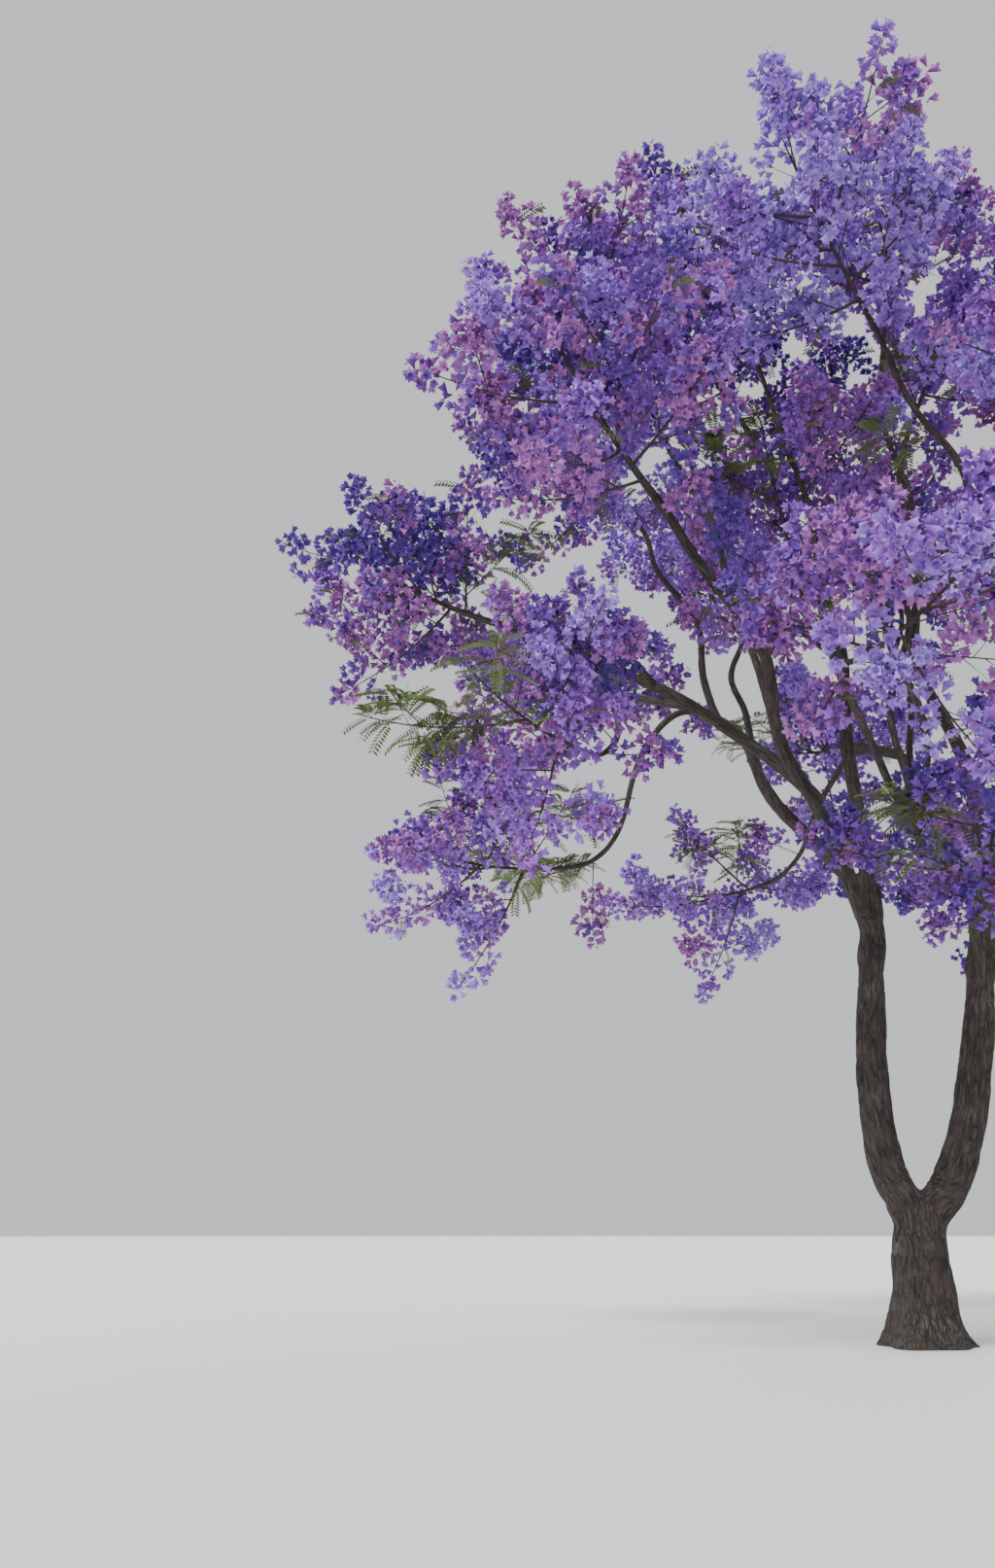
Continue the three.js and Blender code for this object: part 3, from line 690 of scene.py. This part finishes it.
closest = np.full(trunk_count, np.inf)
trunk_grain = np.zeros((trunk_count, 3))
wood_radius = np.zeros(trunk_count)
for name in CORE + boughs:
    away, grain = grain_on(name, trunk_places)
    closer = away < closest
    closest[closer] = away[closer]
    trunk_grain[closer] = grain[closer]
    wood_radius[closer] = limbs[name].radii[0]
proud = np.array([proud_by(g, r) for g, r in zip(trunk_grain, wood_radius)])
proud *= np.clip(trunk_places[:, 2] / NEAR_GROUND, 0, 1)
trunk_places += proud[:, None] * rows(trunk_mesh.vertex_normals, "vector").astype(float)
trunk_places[:, 2] = np.maximum(trunk_places[:, 2], 0)
move_trunk(trunk_places)
give_grain(trunk_mesh, trunk_grain)
add_piece("bark_of_trunk_and_stems", trunk_mesh, bark_finish("furrowed_bark", 1.0), CORE)

# Bark of the boughs and limbs
# Younger wood, whose grey-brown bark is smoother and paler, with finer furrows. Each bough goes on
# from the stub that carries it, and its bark takes over before the stub ends. Each limb starts
# inside its bough with a swollen collar, as a grown branch does.
YOUNG_FURROWS = 0.55
LEAST_REACH = 1e-6  # so that nothing is divided by 0
BOUGH_TUBE = {"sides": 14, "step": 0.045}
LIMB_TUBE = {"sides": 10, "step": 0.055}


def bark_tubes(piece, names, shape):
    """Limbs as tubes with relief along them, in one piece."""
    tubes = []
    for name in names:
        points, run, radii = wood_path(name, shape["step"])
        if name in boughs:
            radii = radii * (1 - STUB["sink"] + STUB["sink"] * takeover(run, STUB["length"]))
        else:
            radii = radii * collar(run)
        places, faces, grain = tube(points, radii, shape["sides"])
        if name in boughs:
            grain = settled(name, grain)
        centre = np.concatenate([np.repeat(points, shape["sides"], axis=0), points[:1], points[-1:]])
        outwards = places - centre
        reach = np.maximum(lengths(outwards), LEAST_REACH)[:, None]
        proud = np.array([proud_by(g, r) for g, r in zip(grain, reach[:, 0])])
        tubes.append((places + proud[:, None] * outwards / reach, faces, grain))
    add_piece(piece, joined(piece, tubes), young_bark, names)


young_bark = bark_finish("young_bark", YOUNG_FURROWS)
bark_tubes("bark_of_boughs", boughs, BOUGH_TUBE)
bark_tubes("bark_of_limbs", [name for name in limbs if name.endswith("_limb")], LIMB_TUBE)

# Shoots
# Each limb's tip carries on as a stem that turns up to the light. Twigs stand round it by the
# golden angle, and the stem, the twigs and the side shoots each end in a long spray. They are
# grown here by the solids' own rule, and a shoot is kept where the solid has its tip.
GOLDEN_ANGLE = 137.508
MASS = {
    "seed_step": 97, "lift": 0.34, "overshoot": 1.7, "stem_tip": 0.022, "twigs": 7,
    "twig_shares": (0.1, 0.58), "twig_pitches": (84, 50), "twig_turn": (-20, 20),
    "twig_length": 3.15, "twig_sizes": (0.85, 1.15), "twig_radii": (0.026, 0.018),
    "side_shares": (0.14, 0.24), "side_turns": ((155, 205), (-25, 25)), "side_pitch": 56,
    "side_length": 1.7, "side_radii": (0.013, 0.008),
}
SPRAYS = {  # shares of the shoot where its spray starts and is widest, its width, its twiglets
    "stem": (1 / 2, 3 / 4, 0.93, 9),
    "twig": (1 / 3, 2 / 3, 0.93, 9),
    "side": (0, 1 / 2, 0.93, 9),
    "fine": (0.3, 0.62, 0.62, 6),
}
FEWEST_TWIGLETS = 5
TRIES = (1, 0.86, 0.72, 0.6)  # the sizes that a shoot may have in the solid
SAME_PLACE = 0.003
SPACE = np.array([2.45, 2.45, 2.05])  # half the width, depth and height of a mass's own space
WOOD_PLACES = 25  # along each limb, for the fine shoots to keep clear of
FINE = {"seed_step": 131, "pitch": 60, "end_lift": 0.2, "radii": (0.011, 0.006), "room": 0.16}
FINE_ON = {  # shares, degrees from each to the next, steps to the first, jitter, length, space
    "stem": ((0.16, 0.3, 0.44, 0.58, 0.72), GOLDEN_ANGLE, 0.5, 30, (1.2, 1.75), 1),
    "twig": ((0.42, 0.6), 180, 0, 40, (0.9, 1.25), 1),
    "limb": ((0.6, 0.76, 0.9), GOLDEN_ANGLE, 0, 60, (0.95, 1.4), 1.8),
}

shoots = []  # mass number, limb, where its spray starts and is widest, its width, its twiglets
wood_shares = np.linspace(0, 1, WOOD_PLACES)
wood_points = np.concatenate([limb.point(wood_shares) for limb in limbs.values()])
wood_radii = np.concatenate([limb.radius(wood_shares) for limb in limbs.values()])


def lifted(direction, share):
    return unit(direction + (UP - direction) * share)


def branch_off(along, pitch, turn):
    """A direction that leaves another at an angle, turned round it."""
    side = side_of(along)
    third = np.cross(side, along)
    p = math.radians(pitch)
    a = math.radians(turn)
    return unit(along * math.cos(p) + math.sin(p) * (math.cos(a) * side + math.sin(a) * third))


def shoot_in(solid, start, leave, arrive, radii, length):
    """The shoot of the first size whose tip is a corner of the solid, and that size."""
    for size in TRIES:
        end = start + 0.5 * length * size * (leave + arrive)
        if lengths(solid - end).min() < SAME_PLACE:
            return Limb(start, leave, end, arrive, radii), size
    return None, 0


def add_shoot(mass, limb, kind, size=1):
    neck, belly, width, count = SPRAYS[kind]
    shoots.append((mass, limb, neck, belly, width * size, max(FEWEST_TWIGLETS, round(count * size))))


def room_at(place):
    """How far a place is from the skin of the trunk and limbs."""
    return (lengths(wood_points - place) - wood_radii).min()


def add_fine_shoots(kind, mass, parent, throw, size=1):
    """Shoots too fine for the solids, but none that would leave the mass's space or touch a limb."""
    shares, apart, first, jitter, limits, space = FINE_ON[kind]
    for k, share in enumerate(shares):
        turn = apart * (k + first) + throw(-jitter, jitter)
        length = throw(*limits) * size
        leave = lifted(branch_off(parent.direction(share), FINE["pitch"], turn), MASS["lift"])
        start = parent.point(share)
        end = start + length * leave
        inside = lengths((end - masses[mass][1]) / (space * SPACE)) <= 1
        if inside and min(room_at(end), room_at((start + end) / 2)) > FINE["room"]:
            arrive = lifted(leave, FINE["end_lift"])
            add_shoot(mass, Limb(start, leave, end, arrive, FINE["radii"]), "fine")


for i, (node, centre, feeder) in enumerate(masses):
    solid = corners(node)
    throw = dice(SEED + MASS["seed_step"] * (i + 1))
    fine_throw = dice(SEED + FINE["seed_step"] * (i + 1))
    arrive = lifted(feeder.arrive, MASS["lift"])
    tip = centre + MASS["overshoot"] * arrive
    stem = Limb(feeder.end, feeder.arrive, tip, arrive, (feeder.radii[1], MASS["stem_tip"]))
    add_shoot(i, stem, "stem")
    add_fine_shoots("stem", i, stem, fine_throw)
    for k in range(MASS["twigs"]):
        rank = k / (MASS["twigs"] - 1)
        share = from_to(MASS["twig_shares"], rank)
        turn = GOLDEN_ANGLE * k + throw(*MASS["twig_turn"])
        leave = branch_off(stem.direction(share), from_to(MASS["twig_pitches"], rank), turn)
        length = MASS["twig_length"] * throw(*MASS["twig_sizes"])
        side_turns = [throw(*limits) for limits in MASS["side_turns"]]
        arrive = lifted(leave, MASS["lift"])
        twig, size = shoot_in(solid, stem.point(share), leave, arrive, MASS["twig_radii"], length)
        if twig is None:
            continue
        add_shoot(i, twig, "twig", size)
        add_fine_shoots("twig", i, twig, fine_throw, size)
        for at, turn in zip(MASS["side_shares"], side_turns):
            out = lifted(branch_off(twig.direction(at), MASS["side_pitch"], turn), MASS["lift"])
            side, size = shoot_in(solid, twig.point(at), out, out, MASS["side_radii"], MASS["side_length"])
            if side is not None:
                add_shoot(i, side, "side", size)
    add_fine_shoots("limb", i, feeder, fine_throw)

# Twigs
# Slender grey-brown wood: the shoots themselves, and the twiglets that stand round each spray
# by the golden angle and carry the blossom. Each is a few faces round and tapers to its tip. The
# thick stem that carries on from each limb still has the limb's young bark.
TWIG_COLOUR = (0.055, 0.042, 0.032)
TWIG_ROUGHNESS = 0.9
SHOOT = {"steps": 7, "sides": 5}
THICK_SHOOT = {"steps": 16, "sides": 9}
THICK_RADIUS = 0.03  # a shoot that starts thicker than this keeps the young bark
TIP_RADIUS = 0.006
TAPER_POWER = 0.8
PANICLE_LENGTH = 0.38
TWIGLET = {
    "radius": 0.008, "pitches": (64, 30), "pitch_jitter": (-8, 8), "first": 0.04, "range": 0.86,
    "ahead": 0.1, "lift": 0.12, "shortest": 0.06, "sizes": (0.85, 1.2),
}
PANICLE_FILLS = 0.6  # share of a panicle's length that the spray's width leaves to it
PANICLE_LIFT = (-0.15, 0.3)
LAST_TWIGLET = (0.25, 0.22)  # how far before its shoot's tip it starts and ends
PANICLE_AXIS = (0.6 * TWIGLET["radius"], 0.6 * TWIGLET["radius"], 0.9 * PANICLE_LENGTH)

bloom_nodes = [node for node, _, _ in masses]
chance = np.random.default_rng(SEED)


def turning(directions, spins):
    """Rotations that carry +Z to each direction, each turned round it by its spin."""
    directions = unit(np.asarray(directions, float))
    across = np.cross(directions, UP)
    across[lengths(across) < NEARLY_UPRIGHT] = (1.0, 0.0, 0.0)
    across = squared(across, directions)
    third = np.cross(directions, across)
    c, s = np.cos(spins)[:, None], np.sin(spins)[:, None]
    return np.stack([c * across + s * third, c * third - s * across, directions], axis=2)


def repeated(template, rotations, places, scales):
    """Copies of a small mesh of triangles, as one array of corners and one of faces."""
    shape, faces = template
    scales = np.asarray(scales, float)
    scales = scales[:, None, None] if scales.ndim == 1 else scales[:, None, :]
    out = np.einsum("nij,nvj->nvi", rotations, shape * scales) + np.asarray(places)[:, None]
    shift = len(shape) * np.arange(len(out))[:, None, None]
    return out.reshape(-1, 3), (faces + shift).reshape(-1, 3)


def merged(shapes):
    """Several arrays of corners and of faces as one of each."""
    places, faces = zip(*shapes)
    starts = np.cumsum([0] + [len(shape) for shape in places])
    return np.concatenate(places), np.concatenate([f + start for f, start in zip(faces, starts)])


def foliage_piece(name, shape, colour, roughness):
    """One piece of joined triangles in one plain colour."""
    places, faces = shape
    mesh = bpy.data.meshes.new(name)
    mesh.from_pydata(places.tolist(), [], faces.tolist(), shade_flat=False)
    add_piece(name, mesh, plain_finish(name, colour, roughness), bloom_nodes)


twiglets = []  # foot, tip, direction of what it carries, number of the spray
sprays = []  # middle of each spray, its mass
shoot_shapes = []
thick_tubes = []
for number, (mass, limb, neck, belly, spray_width, count) in enumerate(shoots):
    thick = limb.radii[0] > THICK_RADIUS
    shape = THICK_SHOOT if thick else SHOOT
    share = np.linspace(0, 1, shape["steps"] + 1)
    radii = from_to((limb.radii[0], TIP_RADIUS), share**TAPER_POWER)
    places, faces, grain = tube(limb.point(share), radii, shape["sides"])
    if thick:
        thick_tubes.append((places, faces, grain))
    else:
        triangles = [(face[0], *pair) for face in faces for pair in zip(face[1:], face[2:])]
        shoot_shapes.append((places, np.array(triangles)))
    sprays.append((limb.point((neck + 1) / 2), mass))
    spin = chance.uniform(0, 360)
    for k in range(count):
        rank = (k + 0.5) / count
        at = neck + (1 - neck) * (TWIGLET["first"] + TWIGLET["range"] * rank)
        pitch = from_to(TWIGLET["pitches"], rank)
        turned = pitch + chance.uniform(*TWIGLET["pitch_jitter"])
        out = branch_off(limb.direction(at), turned, GOLDEN_ANGLE * k + spin)
        out = lifted(out, TWIGLET["lift"])
        ahead = at + TWIGLET["ahead"] * (1 - neck)
        width = min((ahead - neck) / (belly - neck), (1 - ahead) / (1 - belly)) * spray_width / 2
        length = width / math.sin(math.radians(pitch)) - PANICLE_FILLS * PANICLE_LENGTH
        length = max(TWIGLET["shortest"], length) * chance.uniform(*TWIGLET["sizes"])
        foot = limb.point(at)
        carries = lifted(out, chance.uniform(*PANICLE_LIFT))
        twiglets.append((foot, foot + out * length, carries, number))
    foot, tip = (limb.point(1) - before * limb.arrive for before in LAST_TWIGLET)
    twiglets.append((foot, tip, limb.arrive, number))

feet, tips, carried, spray_of = (np.array(column) for column in zip(*twiglets))
stick = (
    np.array(ring_of(3, 1, 0) + ring_of(3, 0.5, 1)),
    np.array([(0, 1, 4), (0, 4, 3), (1, 2, 5), (1, 5, 4), (2, 0, 3), (2, 3, 5)]),
)
spike = (np.array(ring_of(3, 1, 0) + [(0, 0, 1)]), np.array([(0, 1, 3), (1, 2, 3), (2, 0, 3)]))
spans = lengths(tips - feet)
spins = chance.uniform(0, 2 * math.pi, len(feet))
stick_sizes = np.stack([np.full(len(feet), TWIGLET["radius"])] * 2 + [spans], axis=1)
spike_sizes = np.tile(PANICLE_AXIS, (len(feet), 1))
shoot_shapes.append(repeated(stick, turning(tips - feet, spins), feet, stick_sizes))
shoot_shapes.append(repeated(spike, turning(carried, spins), tips, spike_sizes))
foliage_piece("twigs", merged(shoot_shapes), TWIG_COLOUR, TWIG_ROUGHNESS)
thick_mesh = joined("bark_of_thick_twigs", thick_tubes)
add_piece("bark_of_thick_twigs", thick_mesh, young_bark, bloom_nodes)

# Blossom
# Loose pyramids of nodding trumpet flowers, each with a narrow tube and five lobes, which open
# at every twig's end before the leaves come. A flower is about three times its size in life, since
# the tree's tens of thousands stand here for some hundreds of thousands. Tints go by the spray.
LOBES = 5
FLOWER = {"length": 0.14, "tube": 0.86, "throat": 0.046, "spread": 0.07}
BUD = {"width": 0.014, "belly": 0.035, "length": 0.06}
PANICLE = {
    "flowers": 9, "first": 0.02, "range": 0.86, "turn_jitter": (-0.4, 0.4), "width": 0.115,
    "narrowing": 0.75, "stand": (0.2, 1.0), "lift": (-0.5, 0.9), "wander": 0.25,
    "flower_sizes": (0.85, 1.15), "flower_spin": (0, 6.3), "buds": 2, "buds_at": 0.88,
    "bud_lean": 0.5, "bud_spread": 0.012,
}
PANICLE_KINDS = 6
PANICLE_SIZES = (0.85, 1.15)
BLOSSOM_ROUGHNESS = 0.75
EDGE = 0.38  # how far a flower cluster or a leaf may stand out from the solids' box
TINTS = {
    "pale": (0.42, 0.27, 0.78),
    "lilac": (0.35, 0.18, 0.69),
    "violet": (0.3, 0.115, 0.55),
    "mauve": (0.39, 0.14, 0.46),
    "deep": (0.18, 0.07, 0.42),
    "indigo": (0.11, 0.052, 0.35),
}
TINT_DRIFT = {"size": 3.4, "offset": (3.7, 1.1, 8.2)}
TINT_MIDDLE = 2.2  # where in the row of tints a spray is that nothing changes
TINT_REACH = 3.0  # and how many places its drift can move it
TINT_JITTER = {"spray": 0.8, "panicle": 0.55}
# These are partly the blossom's own patches of tint and partly painted light and shade: deeper sprays
# where the crown lies in shade, and paler ones at its sunlit top.
TINT_AND_SHADE_PLACES = (  # middle of a patch of the crown, its reach, and how much deeper its sprays are
    ((-7.9, -0.4, 12.8), 3.2, 2.6),
    ((-1.8, -2.8, 16.2), 3.6, -2.2),
    # painted light: paler sprays at the crown's sunlit top
    ((0.6, -2.0, 17.0), 3.6, -1.0),
    ((-4.6, -5.6, 11.0), 2.6, 0.7),
    ((-1.4, -6.4, 8.8), 3.0, 1.6),
    # painted shade: deeper sprays in the front mass, which hangs in shade before the stems
    ((0.6, -3.6, 6.2), 2.8, 2.2),
)
LEAFY_DRIFT = {"size": 1.9, "offset": (9.1, 4.4, 2.3)}
LEAFY_PLACES = (((-4.2, -4.4, 6.8), 4.0, 0.5),)
LEAFY_ABOVE = {  # kind of mass: what a spray's drift and places have to pass for it to be in leaf
    "lower": 0.3, "middle": 0.42, "front": 0.42, "heart": 0.42, "tip": 0.45, "upper": 0.5,
}


def flower_template():
    """A trumpet of ten faces: five in the tube, and a lobe on each of its five edges."""
    throat = ring_of(LOBES, FLOWER["throat"], FLOWER["tube"] * FLOWER["length"])
    lobes = ring_of(LOBES, FLOWER["spread"], FLOWER["length"], first=0.5)
    faces = [(0, 1 + (k + 1) % LOBES, 1 + k) for k in range(LOBES)]
    faces += [(1 + k, 1 + (k + 1) % LOBES, 1 + LOBES + k) for k in range(LOBES)]
    return np.array([(0, 0, 0), *throat, *lobes], float), np.array(faces)


def bud_template():
    """A closed bud: a spindle with three sides."""
    places = [(0, 0, 0), *ring_of(3, BUD["width"], BUD["belly"]), (0, 0, BUD["length"])]
    faces = [(0, 1 + (k + 1) % 3, 1 + k) for k in range(3)]
    faces += [(4, 1 + k, 1 + (k + 1) % 3) for k in range(3)]
    return np.array(places, float), np.array(faces)


def panicle_template():
    """Flowers round an axis by the golden angle, wide at the foot and narrow at the tip."""
    directions, places, sizes = [], [], []
    for k in range(PANICLE["flowers"]):
        rank = (k + 0.5) / PANICLE["flowers"]
        turn = math.radians(GOLDEN_ANGLE) * k + chance.uniform(*PANICLE["turn_jitter"])
        outwards = np.array([math.cos(turn), math.sin(turn), 0.0])
        height = PANICLE_LENGTH * (PANICLE["first"] + PANICLE["range"] * rank)
        stand = PANICLE["width"] * (1 - PANICLE["narrowing"] * rank) * chance.uniform(*PANICLE["stand"])
        places.append(outwards * stand + UP * height)
        lift = UP * chance.uniform(*PANICLE["lift"])
        directions.append(outwards + lift + chance.normal(0, PANICLE["wander"], 3))
        sizes.append(chance.uniform(*PANICLE["flower_sizes"]))
    spins = chance.uniform(*PANICLE["flower_spin"], PANICLE["flowers"])
    flowers = repeated(flower_template(), turning(directions, spins), places, sizes)
    buds = PANICLE["buds"]
    bud_directions = UP + chance.normal(0, PANICLE["bud_lean"], (buds, 3))
    end = UP * PANICLE_LENGTH * PANICLE["buds_at"]
    bud_places = end + chance.normal(0, PANICLE["bud_spread"], (buds, 3))
    bud_turning = turning(bud_directions, np.zeros(buds))
    return merged([flowers, repeated(bud_template(), bud_turning, bud_places, np.ones(buds))])


def drift(point, size, offset):
    """Slow noise through the crown, with patches of about the size given."""
    return noise.noise(Vector(point) / size + Vector(offset))


def patches(places, point):
    """What the patches add at a point: all in a patch's middle, and nothing beyond its reach."""
    return sum(
        amount * max(0.0, 1 - lengths(point - np.array(middle)) / reach)
        for middle, reach, amount in places
    )


def near_solids(ends):
    """Whether each end stays near the reach of the solids' tips."""
    return ((ends > np.array(solid_low) - EDGE) & (ends < np.array(solid_high) + EDGE)).all(axis=1)


spray_tint = []
spray_leafy = []
for point, mass in sprays:
    deeper = drift(point, **TINT_DRIFT) * TINT_REACH + patches(TINT_AND_SHADE_PLACES, point)
    spray_tint.append(TINT_MIDDLE + deeper + chance.normal(0, TINT_JITTER["spray"]))
    limit = next(limit for kind, limit in LEAFY_ABOVE.items() if kind in bloom_nodes[mass])
    spray_leafy.append(drift(point, **LEAFY_DRIFT) + patches(LEAFY_PLACES, point) > limit)
in_leaf = np.array(spray_leafy)[spray_of]
tint_of = np.array(spray_tint)[spray_of] + chance.normal(0, TINT_JITTER["panicle"], len(spray_of))
tint_of = np.clip(np.round(tint_of), 0, len(TINTS) - 1).astype(int)
kind_of = chance.integers(0, PANICLE_KINDS, len(feet))
panicle_turning = turning(carried, chance.uniform(0, 2 * math.pi, len(feet)))
panicle_scales = chance.uniform(*PANICLE_SIZES, len(feet))
panicle_kept = ~in_leaf & near_solids(tips + PANICLE_LENGTH * panicle_scales[:, None] * carried)
templates = [panicle_template() for _ in range(PANICLE_KINDS)]
for number, (tint, colour) in enumerate(TINTS.items()):
    shapes = []
    for kind, template in enumerate(templates):
        chosen = (tint_of == number) & (kind_of == kind) & panicle_kept
        shapes.append(repeated(template, panicle_turning[chosen], tips[chosen], panicle_scales[chosen]))
    foliage_piece(f"blossom_{tint}", merged(shapes), colour, BLOSSOM_ROUGHNESS)

# Leaves
# Young fern-like leaves, twice divided: a thin drooping midrib with feather-like side ribs in
# pairs. They stand on the twiglets. Few are out while the tree is in bloom, most of them in the
# lower and inner masses.
LEAF = {
    "length": 0.5, "droop": 0.6, "pairs": 9, "first_pair": 0.12, "pair_range": 0.85, "rib": 0.125,
    "rib_width": 0.04, "rib_forward": 0.45, "rib_droop": 0.22, "rib_tilt": 0.25, "belly": 0.45,
}
AHEAD = 0.08  # share of the leaf over which the midrib's way is read
MIDRIB = (  # shares of the leaf from and to which each part points, its length as one, its width
    (0, 0.6, 0.62, 0.012),
    (0.58, 1, 0.55, 0.02),
)
LEAVES_IN_BLOOM = 0.1  # leaves to each twiglet of a spray in bloom
LEAVES_IN_LEAF = 3  # and of one in leaf
LEAF_ON_TWIGLET = (0.15, 0.95)
LEAF_FORWARD = 0.8  # how much it points along its twiglet, beside straight outwards
LEAF_RISE = 0.1
LEAF_SIZES = (0.7, 1.05)
LEAF_ROUGHNESS = 0.7
LEAF_COLOURS = {"olive": (0.075, 0.095, 0.022), "fresh": (0.11, 0.165, 0.032)}
FRESH_SHARE = 0.4


def leaf_template():
    """The midrib runs along +Z and droops towards -Y. Each side rib is a slender diamond."""
    places, faces = [], []

    def along(share):
        z = LEAF["length"] * share
        return np.array([0.0, -LEAF["droop"] * z * z / LEAF["length"], z])

    def diamond(foot, direction, length, width, flat):
        base = len(places)
        sideways = unit(np.cross(direction, flat)) * width / 2
        belly = foot + LEAF["belly"] * length * direction
        places.extend([foot, belly + sideways, foot + length * direction, belly - sideways])
        faces.extend([(base, base + 1, base + 2), (base, base + 2, base + 3)])

    for k in range(LEAF["pairs"]):
        rank = (k + 1) / (LEAF["pairs"] + 1)
        at = LEAF["first_pair"] + LEAF["pair_range"] * rank
        forward = unit(along(at + AHEAD) - along(at))
        length = LEAF["rib"] * (0.55 + 1.2 * rank * (1.25 - rank))  # the longest are past the middle
        for side in (-1, 1):
            direction = unit(np.array([side, -LEAF["rib_droop"], 0.0]) + LEAF["rib_forward"] * forward)
            diamond(along(at), direction, length, LEAF["rib_width"], (0, 1, LEAF["rib_tilt"]))
    for start, end, length, width in MIDRIB:
        direction = unit(along(end) - along(start))
        diamond(along(start), direction, length * LEAF["length"], width, (0, 1, 0))
    return np.array(places), np.array(faces)


def leaf_turning(outwards):
    """Rotations that carry +Z to each direction and keep +Y as near upright as can be."""
    outwards = unit(outwards)
    across = unit(np.cross(UP, outwards))
    return np.stack([across, np.cross(outwards, across), outwards], axis=2)


carriers = np.concatenate([
    np.flatnonzero(~in_leaf & (chance.uniform(size=len(feet)) < LEAVES_IN_BLOOM)),
    np.repeat(np.flatnonzero(in_leaf), LEAVES_IN_LEAF),
])
carrier_ways = (tips - feet)[carriers]
leaf_feet = feet[carriers] + chance.uniform(*LEAF_ON_TWIGLET, len(carriers))[:, None] * carrier_ways
azimuths = chance.uniform(0, 2 * math.pi, len(carriers))
level_out = np.stack([np.cos(azimuths), np.sin(azimuths), np.full(len(carriers), LEAF_RISE)], axis=1)
leaf_out = LEAF_FORWARD * carrier_ways / spans[carriers][:, None] + level_out
leaf_fresh = chance.uniform(size=len(carriers)) < FRESH_SHARE
leaf_scales = chance.uniform(*LEAF_SIZES, len(carriers))
leaf_kept = near_solids(leaf_feet + LEAF["length"] * unit(leaf_out))
template = leaf_template()
for name, colour in LEAF_COLOURS.items():
    chosen = (leaf_fresh == (name == "fresh")) & leaf_kept
    shape = repeated(template, leaf_turning(leaf_out[chosen]), leaf_feet[chosen], leaf_scales[chosen])
    foliage_piece(f"leaves_{name}", shape, colour, LEAF_ROUGHNESS)
